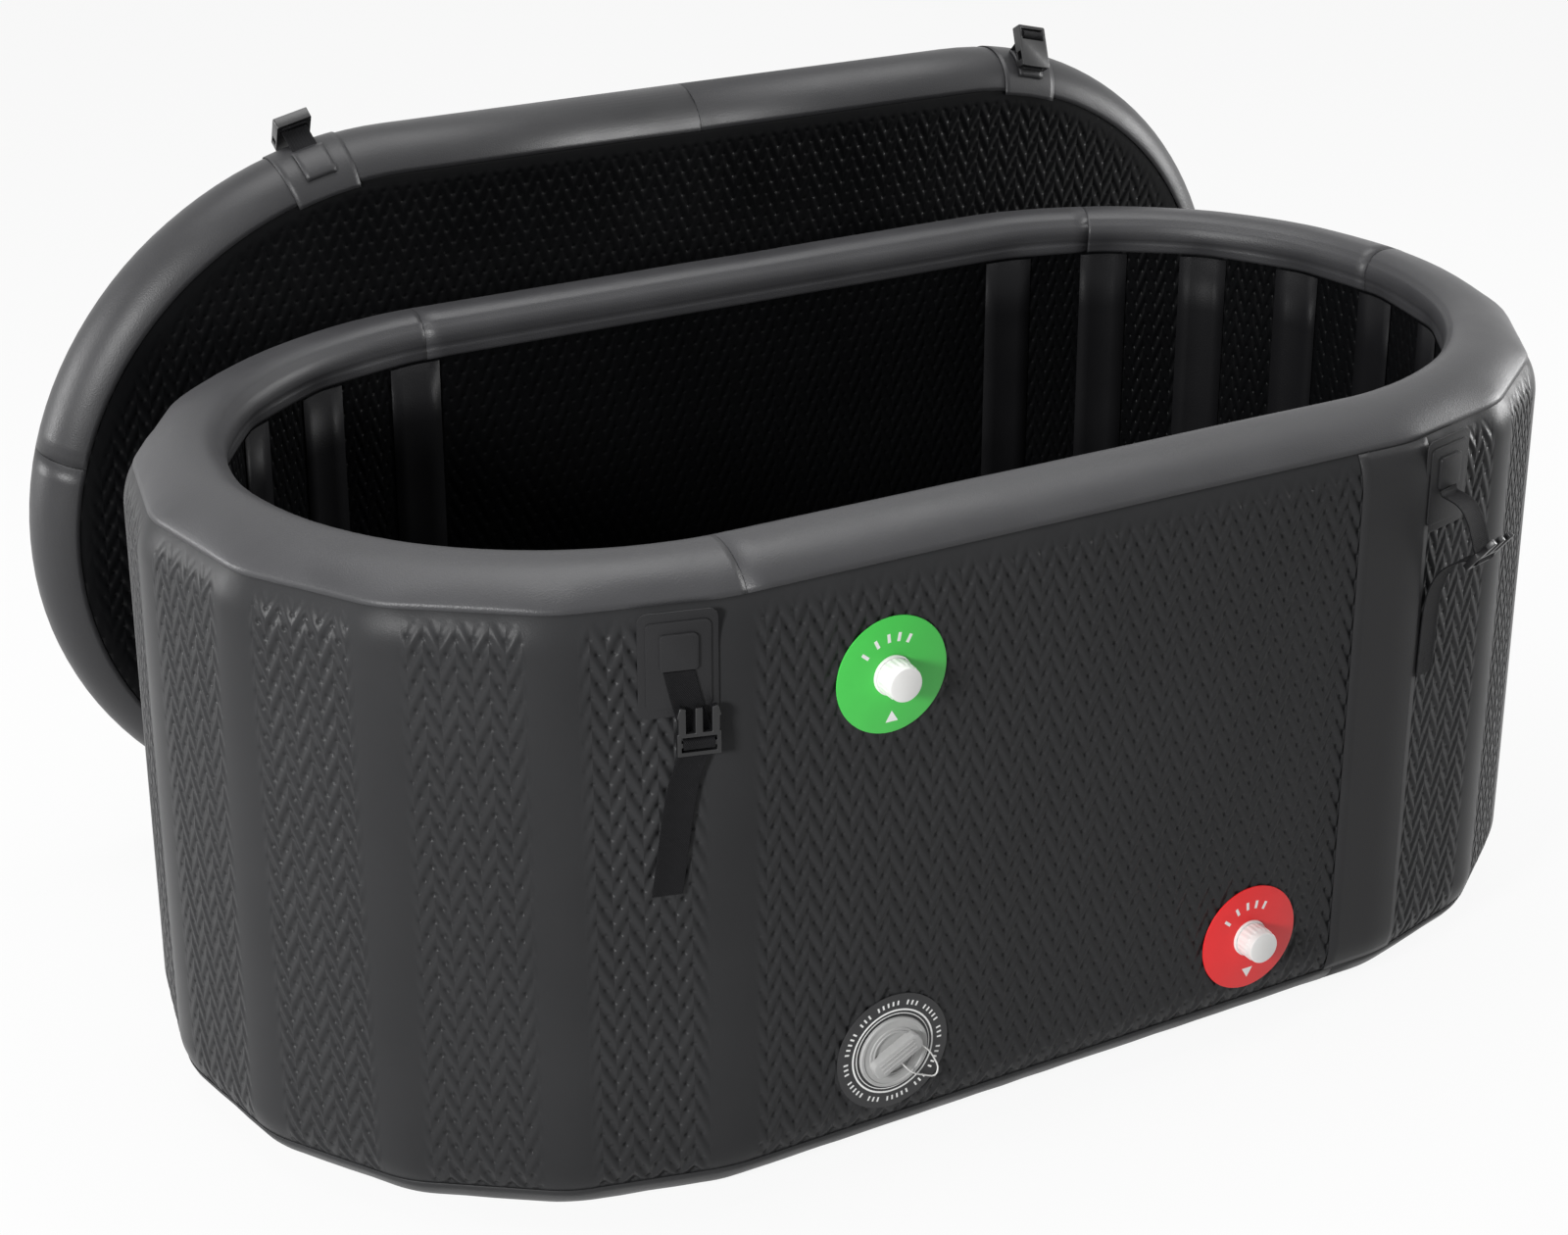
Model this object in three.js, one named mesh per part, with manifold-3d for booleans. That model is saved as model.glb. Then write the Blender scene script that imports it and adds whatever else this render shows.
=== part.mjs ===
// Oval inflatable cold plunge tub with a loose inflatable lid that leans on its back wall.
// Millimetres, +Z up. The origin lies on the floor under the tub's middle.
// +X runs along the tub, and the water fittings face -Y.
import * as THREE from "three";
import { mergeVertices } from "three/addons/utils/BufferGeometryUtils.js";
import Module from "manifold-3d";

const wasm = await Module();
wasm.setup();
const rad = THREE.MathUtils.degToRad;

// Tub
const TUB_LENGTH = 1420;
const TUB_WIDTH = 770;
const TUB_HEIGHT = 600;
const WALL = 88;
const EDGE_OUTER = 64;
const CREST_FLAT = 2;
const SKIN = 1;
const TAPE = 1.2;
const CLEAR = 0.3;
const FLOOR = 2.5;
const ROUND = 24;
const EDGE_STEP_OUTER = rad(30);
const EDGE_STEP_INNER = rad(30);

// Folds that bend the flat wall panel round each end
const DARTS = 9;
const FIRST_DART = rad(4);
const FOLD_HALF = 15;

// Rim, bottom and seam tapes
const RIM_DROP_OUTER = 29;
const RIM_DROP_INNER = 45;
const RIM_SEAM_FROM_FOLD = 2;
const RIM_SEAM_PAST_FOLD = 24;
const RIM_SEAM_TIP_FOLD = 4;
const RIM_SEAM_BACK_FOLD = 7;
const RAIL_RISE = 38;
const RAIL_SEAM_FROM_FOLD = 38;
const SEAM_TAPE_WIDTH = 50;
const SEAM_TAPE_OVER_FOLD = 0.4;
const TAPE_GAP = rad(1);

// Inner dart tapes, standing on a floor seam tape
const STRIP_WIDTH = 53;
const FLOOR_SEAM_HEIGHT = 34;
const FLOOR_SEAM_LIFT = 3;

// Water inlet and outlet
const WATER_IN_FROM_FOLD = 133.8;
const WATER_IN_Z = 474;
const WATER_OUT_FROM_TAPE = 98.8;
const WATER_OUT_Z = 107;
const DISC_RADIUS = 53;
const DISC = 1.2;
const PIPE_RADIUS = 13;
const PIPE_BORE = 9;
const PIPE_THREAD = 17;
const PIPE_PAST_NUT = 3;
const COLLAR_RADIUS = 18;
const COLLAR = 2.5;
const CAP_RADIUS = 16.5;
const CAP_END = 3;
const CAP_RIBS = 20;
const CAP_RIB_DEPTH = 0.7;
const GASKET_RADIUS = 22;
const GASKET = 2;
const NUT_RADIUS = 22;
const NUT = 10;
const NUT_SIDES = 6;

// Inflation valves
const VALVE_FROM_FOLD = 139.8;
const VALVE_Z = 108;
const VALVE_TURN = rad(27);
const LID_VALVE_FROM_CENTRE = 27;
const LID_VALVE_FROM_MIDDLE = 190;
const LID_VALVE_TURN = rad(90);
const VALVE_PATCH_RADIUS = 56;
const VALVE_PATCH = 1;
const FLANGE_RADIUS = 34;
const FLANGE = 3;
const BARREL_RADIUS = 26;
const BARREL_DEPTH = 34;
const CUP_RADIUS = 22;
const CUP_DEPTH = 16;
const SEAT = 3;
const SEAT_HOLE = 4.3;
const CHAMBER_RADIUS = 20;
const BACK_NUT_RADIUS = 33;
const BACK_NUT = 4;
const POPPET_RADIUS = 14;
const POPPET = 3;
const STEM_RADIUS = 4;
const BUTTON_RADIUS = 7;
const BUTTON = 3;
const BUTTON_BELOW_SKIN = 4;
const SPRING_RADIUS = 5.2;
const SPRING_WIRE = 0.5;
const SPRING_TURNS = 3.5;
const PLUG_DEPTH = 2;
const WING_LENGTH = 51;
const WING_WIDTH = 17.6;
const WING_HEIGHT = 8;
const LANYARD_RADIUS = 0.75;
// Points of the lanyard's loop in flange radii, and how many lanyard radii it lies off the flange
const LANYARD_LOOP = [
  [0.5, -0.706, 2.67],
  [0.912, -0.971, 0],
  [1.235, -1.088, 0],
  [1.324, -0.853, 0],
  [1.147, -0.441, 0],
  [0.941, -0.147, 2],
  [0.824, -0.03, 2.67],
  [0.779, 0, 0.8],
];

// Straps and side-release buckles
const PATCH_WIDTH = 66;
const PATCH_HEIGHT = 92;
const PATCH_CORNER = 8;
const PATCH = 1;
const PATCH_Z = 524;
const PATCH_SHIFT = 28;
const PAD_WIDTH = 54;
const PAD_HEIGHT = 76;
const PAD = 1.5;
const TUNNEL_WIDTH = 32;
const TUNNEL_HEIGHT = 32;
const TUNNEL = 3;
const SLOT_Z = 519;
const WEBBING_WIDTH = 26;
const WEBBING = 1.4;
const PIVOT_CLEAR = 1.05;
const BUCKLE_WIDTH = 36;
const BUCKLE_BAR = 3.5;
const BUCKLE_SLOT = 4.5;
const BUCKLE_MIDDLE = 4;
const BUCKLE_SIDE = 3.5;
const BASE_LENGTH = 20;
const MALE_THICK = 6;
const PRONG_LENGTH = 23;
const PRONG_WIDTH = 6;
const GUIDE_WIDTH = 6;
const BARB = 1.2;
const FEMALE_LENGTH = 48;
const FEMALE_THICK = 11;
const MOUTH_HEIGHT = 7;
const MOUTH_WIDTH = 29;
const MOUTH_DEPTH = 26;
const WINDOW_LENGTH = 10;
const WINDOW_FROM_MOUTH = 8;

// Hanging straps: how far each sways sideways, stands out from the wall and hangs below its slot.
// The points of their paths are shares of those three lengths.
const STRAP_LEFT_SWAY = 14;
const STRAP_LEFT_REACH = 10;
const STRAP_LEFT_HANG = 202;
const STRAP_RIGHT_SWAY = 12;
const STRAP_RIGHT_REACH = 40;
const STRAP_RIGHT_HANG = 187;
const STRAP_RIGHT_TILT = rad(38);
const STRAP_LEFT_PATH = {
  buckle: [1, 1, 0.356],
  drop: [[0.286, 0.44, 0.094], [0.643, 0.46, 0.193]],
  tail: [[0.643, 0.46, 0.391], [0, 0.32, 0.54], [-0.857, 0.26, 1]],
};
const STRAP_RIGHT_PATH = {
  buckle: [0.333, 0.95, 0.358],
  drop: [
    [0, 0.13, 0.029],
    [0, 0.325, 0.035],
    [0.083, 0.625, 0.054],
    [0.167, 0.85, 0.115],
    [0.25, 1, 0.203],
  ],
  tail: [
    [-0.167, 0.6, 0.358],
    [-0.5, 0.3, 0.422],
    [-0.75, 0.113, 0.54],
    [-0.833, 0.065, 0.663],
    [-1, 0.065, 1],
  ],
};
const LID_BUCKLE_LEFT_UP = 29.6;
const LID_BUCKLE_LEFT_OUT = -9;
const LID_BUCKLE_LEFT_TILT = rad(131);
const LID_BUCKLE_RIGHT_UP = 31;
const LID_BUCKLE_RIGHT_OUT = 12.3;
const LID_BUCKLE_RIGHT_TILT = rad(52);

// Lid
const LID_LENGTH = 1420;
const LID_WIDTH = 766;
const LID_THICK = 95;
const LID_X = 13;
const LID_LEAN = rad(86.2);
const LID_RIM_INSET = 35;
const LID_ARC_STEP = rad(9);
const LID_STRAP_CHORD = 1.5;
const LID_EDGE_STEP = rad(22.5);
const LID_SEAM_LEFT = rad(165);
const LID_SEAM_RIGHT = rad(-15);
const LID_PATCH_WIDTH = 72;
const LID_PATCH_FRONT = rad(80);
const LID_PATCH_BACK = rad(-35);
const LID_TUNNEL_FRONT = rad(55);
const LID_TUNNEL_BACK = rad(12);
const LID_STRAP_ROOT = rad(8);

// Sizes that follow from the ones above
const LAP = CLEAR + TAPE;
const SKIN_TOP = TUB_HEIGHT - LAP;
const SKIN_BOTTOM = LAP;
const EDGE_INNER = WALL - EDGE_OUTER - CREST_FLAT;
const CREST_DEPTH = EDGE_OUTER + CREST_FLAT / 2;
const CORE_OFFSET = -(SKIN + CLEAR);
const DART_STEP = (Math.PI - 2 * FIRST_DART) / (DARTS - 1);
const END_RADIUS = TUB_WIDTH / 2 / Math.cos(FIRST_DART);
const END_CENTRE = TUB_LENGTH / 2 - END_RADIUS + FOLD_HALF * Math.sin(DART_STEP / 2);
const FOLD_START_X = END_CENTRE + END_RADIUS * Math.sin(FIRST_DART) - FOLD_HALF;
const RIM_SEAM_X = RIM_SEAM_FROM_FOLD - FOLD_START_X;
const RAIL_SEAM_X = FOLD_START_X - RAIL_SEAM_FROM_FOLD;
const SEAM_TAPE_X = FOLD_START_X - SEAM_TAPE_WIDTH;
const WATER_IN = { x: WATER_IN_FROM_FOLD - FOLD_START_X, z: WATER_IN_Z, colour: 0x3fb54e };
const WATER_OUT = { x: SEAM_TAPE_X - WATER_OUT_FROM_TAPE, z: WATER_OUT_Z, colour: 0xe0292b };
const VALVE = { x: VALVE_FROM_FOLD - FOLD_START_X, z: VALVE_Z };
const FLAT_WALL = WALL * Math.cos(FIRST_DART);
const STRIP_HALF = ((STRIP_WIDTH / 2) * END_RADIUS) / (END_RADIUS - WALL);
const PATCH_TOP = CLEAR + PATCH;
const PAD_TOP = PATCH_TOP + CLEAR + PAD;
const FACET_ANGLE = FIRST_DART + DART_STEP / 2;
const FACET_RADIUS = END_RADIUS * Math.cos(DART_STEP / 2);
const LID_RADIUS = LID_WIDTH / 2 - LAP;
const LID_CENTRE = LID_LENGTH / 2 - LID_WIDTH / 2;
const LID_EDGE = LID_THICK / 2 - LAP;
const LID_VALVE = { x: LID_VALVE_FROM_CENTRE - LID_CENTRE, y: -LID_VALVE_FROM_MIDDLE };
const MALE_LACE = MALE_THICK / 2 + CLEAR + WEBBING / 2;
const FEMALE_LACE = FEMALE_THICK / 2 + CLEAR + WEBBING;
const SLOT_NEAR = BUCKLE_BAR + BUCKLE_SLOT / 2;
const SLOT_FAR = BUCKLE_BAR + BUCKLE_SLOT + BUCKLE_MIDDLE + BUCKLE_SLOT / 2;

const tub = new THREE.Group();

function material(colour, roughness) {
  return new THREE.MeshStandardMaterial({ color: colour, roughness, metalness: 0 });
}
const PANEL = material(0x2b2c2f, 0.55);
const SMOOTH = material(0x5f6064, 0.45);
const YARN = material(0x8a8a86, 0.9);
const WHITE = material(0xf0f0ee, 0.35);
const GREY = material(0x8e9194, 0.5);
const BLACK = material(0x17181a, 0.5);
const WOVEN = material(0x1d1e21, 0.8);
const STEEL = material(0xb5b8bb, 0.3);

function add(name, geometry, look, parent = tub) {
  const mesh = new THREE.Mesh(geometry, look);
  mesh.name = name;
  parent.add(mesh);
  return mesh;
}

// Joining and cutting closed meshes
function solid(geometry) {
  const bare = new THREE.BufferGeometry();
  const plain = geometry.index ? geometry.toNonIndexed() : geometry;
  bare.setAttribute("position", plain.getAttribute("position").clone());
  const merged = mergeVertices(bare, 1e-4);
  const corners = merged.index.array;
  const kept = [];
  for (let i = 0; i < corners.length; i += 3) {
    const [a, b, c] = corners.slice(i, i + 3);
    if (a !== b && b !== c && c !== a) kept.push(a, b, c);
  }
  return new wasm.Manifold(
    new wasm.Mesh({
      numProp: 3,
      vertProperties: merged.attributes.position.array,
      triVerts: new Uint32Array(kept),
    }),
  );
}

function geometryOf(shape) {
  const mesh = shape.getMesh();
  const geometry = new THREE.BufferGeometry();
  geometry.setAttribute("position", new THREE.BufferAttribute(mesh.vertProperties, 3));
  geometry.setIndex(new THREE.BufferAttribute(mesh.triVerts, 1));
  return geometry;
}

function cut(geometry, ...tools) {
  return geometryOf(tools.reduce((left, tool) => left.subtract(solid(tool)), solid(geometry)));
}

function join(geometry, ...others) {
  return geometryOf(others.reduce((sum, other) => sum.add(solid(other)), solid(geometry)));
}

// Triangles collected into one closed mesh
class Faces {
  constructor() {
    this.corners = [];
  }
  triangle(...points) {
    for (const point of points) this.corners.push(point.x, point.y, point.z);
  }
  quad(a, b, c, d) {
    this.triangle(a, b, c);
    this.triangle(a, c, d);
  }
  fan(ring) {
    for (let i = 1; i < ring.length - 1; i++) this.triangle(ring[0], ring[i], ring[i + 1]);
  }
  geometry() {
    const geometry = new THREE.BufferGeometry();
    geometry.setAttribute("position", new THREE.Float32BufferAttribute(this.corners, 3));
    return geometry;
  }
}

// A station is a place along the outline, a row a place on the wall's section.
// A row's depth is measured inwards from the outline, and lean and rise are its outward normal.
function place(station, row, offset) {
  const depth = row.depth + row.lean * offset;
  const share = 1 - depth / station.radius;
  const x = station.centre + station.arm.x * share;
  return new THREE.Vector3(x, station.arm.y * share, row.z + row.rise * offset);
}

function grid(stations, rows, offset) {
  return stations.map((station) => rows.map((row) => place(station, row, offset)));
}

// A sheet that follows the wall between two offsets, closed round the outline or with two ends.
// It may miss cells of its grid, and cap closes it with a flat face at its first or last row.
function sheet(stations, rows, under, over, options = {}) {
  const { closed = false, cap = "", filled = () => true } = options;
  const outer = grid(stations, rows, over);
  const inner = grid(stations, rows, under);
  const columns = closed ? stations.length : stations.length - 1;
  const bands = rows.length - 1;
  const has = (i, j) => {
    const column = closed ? (i + columns) % columns : i;
    return column >= 0 && column < columns && j >= 0 && j < bands && filled(column, j);
  };
  const faces = new Faces();
  for (let i = 0; i < columns; i++) {
    const n = (i + 1) % stations.length;
    for (let j = 0; j < bands; j++) {
      if (!has(i, j)) continue;
      const k = j + 1;
      faces.quad(outer[i][j], outer[n][j], outer[n][k], outer[i][k]);
      faces.quad(inner[i][k], inner[n][k], inner[n][j], inner[i][j]);
      const capped = (cap === "first" && j === 0) || (cap === "last" && k === bands);
      if (!has(i, j - 1) && !(capped && cap === "first"))
        faces.quad(inner[i][j], inner[n][j], outer[n][j], outer[i][j]);
      if (!has(i, k) && !(capped && cap === "last"))
        faces.quad(outer[i][k], outer[n][k], inner[n][k], inner[i][k]);
      if (!has(i - 1, j)) faces.quad(outer[i][j], outer[i][k], inner[i][k], inner[i][j]);
      if (!has(i + 1, j)) faces.quad(inner[n][j], inner[n][k], outer[n][k], outer[n][j]);
    }
  }
  if (cap) {
    const row = cap === "first" ? 0 : bands;
    const outside = outer.map((column) => column[row]);
    const inside = inner.map((column) => column[row]);
    faces.fan(cap === "first" ? outside.reverse() : outside);
    faces.fan(cap === "first" ? inside : inside.reverse());
  }
  return faces.geometry();
}

// A solid that fills the closed section given by the rows, all round the outline
function ring(stations, rows, offset) {
  const points = grid(stations, rows, offset);
  const faces = new Faces();
  points.forEach((column, i) => {
    const next = points[(i + 1) % points.length];
    column.forEach((point, j) => {
      const k = (j + 1) % column.length;
      faces.quad(point, next[j], next[k], column[k]);
    });
  });
  return faces.geometry();
}

// A solid inside the outline, with a flat face at its first and last row
function plug(stations, rows, offset) {
  const points = grid(stations, rows, offset);
  const faces = new Faces();
  points.forEach((column, i) => {
    const next = points[(i + 1) % points.length];
    for (let j = 0; j + 1 < column.length; j++)
      faces.quad(column[j], next[j], next[j + 1], column[j + 1]);
  });
  faces.fan(points.map((column) => column[0]).reverse());
  faces.fan(points.map((column) => column.at(-1)));
  return faces.geometry();
}

// Arcs are drawn as chords of one fixed step, so that pieces laid on each other share their facets.
function chordShare(angle, step) {
  const middle = (Math.floor(angle / step) + 0.5) * step;
  return Math.cos(step / 2) / Math.cos(angle - middle);
}

function anglesBetween(from, to, step) {
  const low = Math.min(from, to);
  const high = Math.max(from, to);
  const near = 1e-6;
  const angles = [low];
  for (let n = Math.ceil((low + near) / step); n * step < high - near; n++) angles.push(n * step);
  angles.push(high);
  return from < to ? angles : angles.reverse();
}

// Rows along an arc of the section: 180 degrees points outwards, 90 degrees up
function arcRows(depth, z, radius, from, to, step) {
  return anglesBetween(from, to, step).map((angle) => {
    const share = chordShare(angle, step);
    const lean = share * Math.cos(angle);
    const rise = share * Math.sin(angle);
    return { depth: depth + radius * lean, z: z + radius * rise, lean, rise };
  });
}

function innerRow(z) {
  return { depth: WALL, z, lean: 1, rise: 0 };
}

function outerRow(z) {
  return { depth: 0, z, lean: -1, rise: 0 };
}

// The wall's outline: straight sides, and ends folded at evenly spaced darts
function dartPoint(number) {
  const index = (number + 2 * DARTS) % (2 * DARTS);
  const end = index < DARTS ? 1 : -1;
  const angle = (end * -Math.PI) / 2 + FIRST_DART + (index % DARTS) * DART_STEP;
  const arm = new THREE.Vector2(Math.cos(angle), Math.sin(angle)).multiplyScalar(END_RADIUS);
  const point = arm.clone();
  point.x += end * END_CENTRE;
  return { centre: end * END_CENTRE, arm, point };
}

function dartStation(number, shift) {
  const here = dartPoint(number);
  const beside = dartPoint(number + Math.sign(shift)).point;
  const along = beside.sub(here.point).setLength(Math.abs(shift));
  return { centre: here.centre, arm: here.arm.clone().add(along), radius: END_RADIUS };
}

function sideStation(side, x) {
  return { centre: x, arm: new THREE.Vector2(0, (side * TUB_WIDTH) / 2), radius: END_RADIUS };
}

function foldStations(first, last, halves = [FOLD_HALF]) {
  const stations = [];
  for (let number = first; number <= last; number++) {
    for (const half of halves) stations.push(dartStation(number, -half));
    for (const half of [...halves].reverse()) stations.push(dartStation(number, half));
  }
  return stations;
}

const RIGHT = 0;
const LEFT = DARTS;
const FRONT = -1;
const BACK = 1;
const outline = foldStations(RIGHT, LEFT + DARTS - 1);

// Wall section
function lowArc(from, to) {
  return arcRows(EDGE_OUTER, SKIN_BOTTOM + EDGE_OUTER, EDGE_OUTER, from, to, EDGE_STEP_OUTER);
}

function highArc(from, to) {
  return arcRows(EDGE_OUTER, SKIN_TOP - EDGE_OUTER, EDGE_OUTER, from, to, EDGE_STEP_OUTER);
}

function innerArc(z, from, to) {
  return arcRows(WALL - EDGE_INNER, z, EDGE_INNER, from, to, EDGE_STEP_INNER);
}

const outerLow = lowArc(rad(270), rad(180));
const outerHigh = highArc(rad(180), rad(90));
const innerHigh = innerArc(SKIN_TOP - EDGE_INNER, rad(90), 0);
const innerLow = innerArc(SKIN_BOTTOM + EDGE_INNER, 0, rad(-90));
const seamRow = (depth, z, rise) => ({ depth, z, lean: 0, rise });
const outerSeamDepth = CREST_DEPTH - CLEAR / 2;
const innerSeamDepth = CREST_DEPTH + CLEAR / 2;
const outerRows = [
  seamRow(outerSeamDepth, SKIN_BOTTOM, -1),
  ...outerLow,
  ...outerHigh,
  seamRow(outerSeamDepth, SKIN_TOP, 1),
];
const innerRows = [
  seamRow(innerSeamDepth, SKIN_TOP, 1),
  ...innerHigh,
  ...innerLow,
  seamRow(innerSeamDepth, SKIN_BOTTOM, -1),
];

// Round cutters through the front wall and the lid
function frontHole(x, z, radius, from, to) {
  const cylinder = new THREE.CylinderGeometry(radius, radius, to - from, ROUND);
  return cylinder.translate(x, -TUB_WIDTH / 2 + (from + to) / 2, z);
}

function lidHole(radius, depth) {
  const length = depth + WALL;
  const cylinder = new THREE.CylinderGeometry(radius, radius, length, ROUND).rotateX(rad(90));
  return cylinder.translate(LID_VALVE.x, LID_VALVE.y, -LID_EDGE + depth - length / 2);
}

const pipeHoles = [WATER_IN, WATER_OUT].map(({ x, z }) =>
  frontHole(x, z, PIPE_RADIUS + CLEAR, -EDGE_OUTER, 2 * WALL),
);
const barrelReach = BARREL_DEPTH + CLEAR;
const pocketReach = SKIN + CLEAR + BACK_NUT + CLEAR;
const valveHole = frontHole(VALVE.x, VALVE.z, BARREL_RADIUS + CLEAR, -EDGE_OUTER, barrelReach);
const valvePocket = frontHole(VALVE.x, VALVE.z, BACK_NUT_RADIUS + CLEAR, -EDGE_OUTER, pocketReach);

// Drop-stitch wall: two coated skins held apart by a field of yarn
const outerSkin = sheet(outline, outerRows, -SKIN, 0, { closed: true });
add("wall_outer_skin", cut(outerSkin, ...pipeHoles, valveHole), PANEL);
const coreRows = [...outerLow, ...outerHigh, ...innerHigh, ...innerLow];
const core = ring(outline, coreRows, CORE_OFFSET);
add("wall_drop_stitch_core", cut(core, ...pipeHoles, valveHole, valvePocket), YARN);
const innerSkin = sheet(outline, innerRows, -SKIN, 0, { closed: true });
add("wall_inner_skin", cut(innerSkin, ...pipeHoles), PANEL);

// Rim tape in four lengths, butted at the seams
const rimSeamAngle = Math.PI - Math.asin(1 - (RIM_DROP_OUTER - LAP) / EDGE_OUTER);
const rimRows = [
  ...highArc(rimSeamAngle, rad(90)),
  ...innerHigh,
  innerRow(TUB_HEIGHT - RIM_DROP_INNER),
];
const past = RIM_SEAM_PAST_FOLD;
const tip = RIGHT + RIM_SEAM_TIP_FOLD;
const shoulder = RIGHT + RIM_SEAM_BACK_FOLD;
const rimLengths = {
  rim_tape_front: [
    sideStation(FRONT, RIM_SEAM_X + CLEAR),
    ...foldStations(RIGHT, tip),
    dartStation(tip, past),
  ],
  rim_tape_right: [
    dartStation(tip, past + CLEAR),
    ...foldStations(tip + 1, shoulder),
    dartStation(shoulder, past),
  ],
  rim_tape_back: [
    dartStation(shoulder, past + CLEAR),
    ...foldStations(shoulder + 1, RIGHT + DARTS - 1),
    sideStation(BACK, RIM_SEAM_X),
  ],
  rim_tape_left: [
    sideStation(BACK, RIM_SEAM_X - CLEAR),
    ...foldStations(LEFT, LEFT + DARTS - 1),
    sideStation(FRONT, RIM_SEAM_X),
  ],
};
for (const [name, stations] of Object.entries(rimLengths))
  add(name, sheet(stations, rimRows, CLEAR, LAP), SMOOTH);

// Bottom tape in two lengths, flat where the tub stands
const railSeamAngle = Math.PI + Math.asin(1 - (RAIL_RISE - LAP) / EDGE_OUTER);
const railRows = [
  seamRow(WALL - EDGE_INNER, SKIN_BOTTOM, -1),
  ...lowArc(rad(270), railSeamAngle),
];
const railLengths = {
  bottom_tape_right: [
    sideStation(FRONT, RAIL_SEAM_X + CLEAR),
    ...foldStations(RIGHT, RIGHT + DARTS - 1),
    sideStation(BACK, -RAIL_SEAM_X),
  ],
  bottom_tape_left: [
    sideStation(BACK, -RAIL_SEAM_X - CLEAR),
    ...foldStations(LEFT, LEFT + DARTS - 1),
    sideStation(FRONT, RAIL_SEAM_X),
  ],
};
for (const [name, stations] of Object.entries(railLengths))
  add(name, sheet(stations, railRows, CLEAR, LAP), PANEL);

// Floor sheet, its edge tucked under the wall's inner bottom edge
const underSlope = EDGE_STEP_INNER / 2;
const tuck = (CLEAR + (FLOOR - SKIN_BOTTOM) * Math.cos(underSlope)) / Math.sin(underSlope);
const floorDepth = WALL - EDGE_INNER + tuck;
const floorRows = [seamRow(floorDepth, 0, -1), seamRow(floorDepth, FLOOR, 1)];
add("floor_sheet", plug(outline, floorRows, 0), PANEL);

// Floor seam tape and the tapes over the inner folds, one comb for each end
const stripTop = TUB_HEIGHT - RIM_DROP_INNER - CLEAR;
const seamTapeBottom = SKIN_BOTTOM + EDGE_INNER + FLOOR_SEAM_LIFT;
const combRows = [stripTop, seamTapeBottom + FLOOR_SEAM_HEIGHT, seamTapeBottom].map(innerRow);
const stationsPerFold = 4;
for (const [name, first, firstSide] of [
  ["inner_tape_right", RIGHT, FRONT],
  ["inner_tape_left", LEFT, BACK],
]) {
  const splitX = (-firstSide * CLEAR) / 2;
  const folds = foldStations(first, first + DARTS - 1, [STRIP_HALF, FOLD_HALF]);
  const stations = [sideStation(firstSide, splitX), ...folds, sideStation(-firstSide, splitX)];
  const filled = (i, j) => j === 1 || (i > 0 && i % stationsPerFold !== 0);
  add(name, sheet(stations, combRows, CLEAR, LAP, { filled }), SMOOTH);
}

// Upright tape over the joint of the wall panel
const foldIn = dartStation(RIGHT, -FOLD_HALF);
const foldOut = dartStation(RIGHT, FOLD_HALF);
const tapeEnd = { ...foldIn, arm: foldIn.arm.clone().lerp(foldOut.arm, SEAM_TAPE_OVER_FOLD) };
const seamTapeRows = [
  ...lowArc(railSeamAngle - TAPE_GAP, rad(180)),
  ...highArc(rad(180), rimSeamAngle + TAPE_GAP),
];
const seamTapeStations = [sideStation(FRONT, SEAM_TAPE_X), foldIn, tapeEnd];
add("wall_seam_tape", sheet(seamTapeStations, seamTapeRows, CLEAR, LAP), SMOOTH);

// Fittings are made in frames whose -Y axis points out of the surface they sit on.
function frame(parent, x, y, z, turnX = 0, turnZ = 0) {
  const group = new THREE.Group();
  group.position.set(x, y, z);
  group.rotation.set(turnX, 0, turnZ);
  parent.add(group);
  return group;
}

// A turned piece: its profile gives radius and distance out of the surface
function turned(profile, segments = ROUND) {
  const points = profile.map(([radius, out]) => new THREE.Vector2(radius, -out));
  return new THREE.LatheGeometry(points, segments);
}

function turnedRing(inside, outside, from, to) {
  const corners = [[inside, from], [inside, to], [outside, to], [outside, from], [inside, from]];
  return turned(corners);
}

// A flat piece: its shape lies in the surface, and it stands from one height to another
function flat(shape, from, to) {
  const options = { depth: to - from, bevelEnabled: false, curveSegments: 4 };
  return new THREE.ExtrudeGeometry(shape, options).translate(0, 0, from).rotateX(rad(90));
}

function roundedRectangle(width, height, corner, x = 0, y = 0) {
  const w = width / 2 - corner;
  const h = height / 2 - corner;
  const shape = new THREE.Shape();
  shape.absarc(x + w, y - h, corner, rad(-90), 0);
  shape.absarc(x + w, y + h, corner, 0, rad(90));
  shape.absarc(x - w, y + h, corner, rad(90), rad(180));
  shape.absarc(x - w, y - h, corner, rad(180), rad(270));
  shape.closePath();
  return shape;
}

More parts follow.
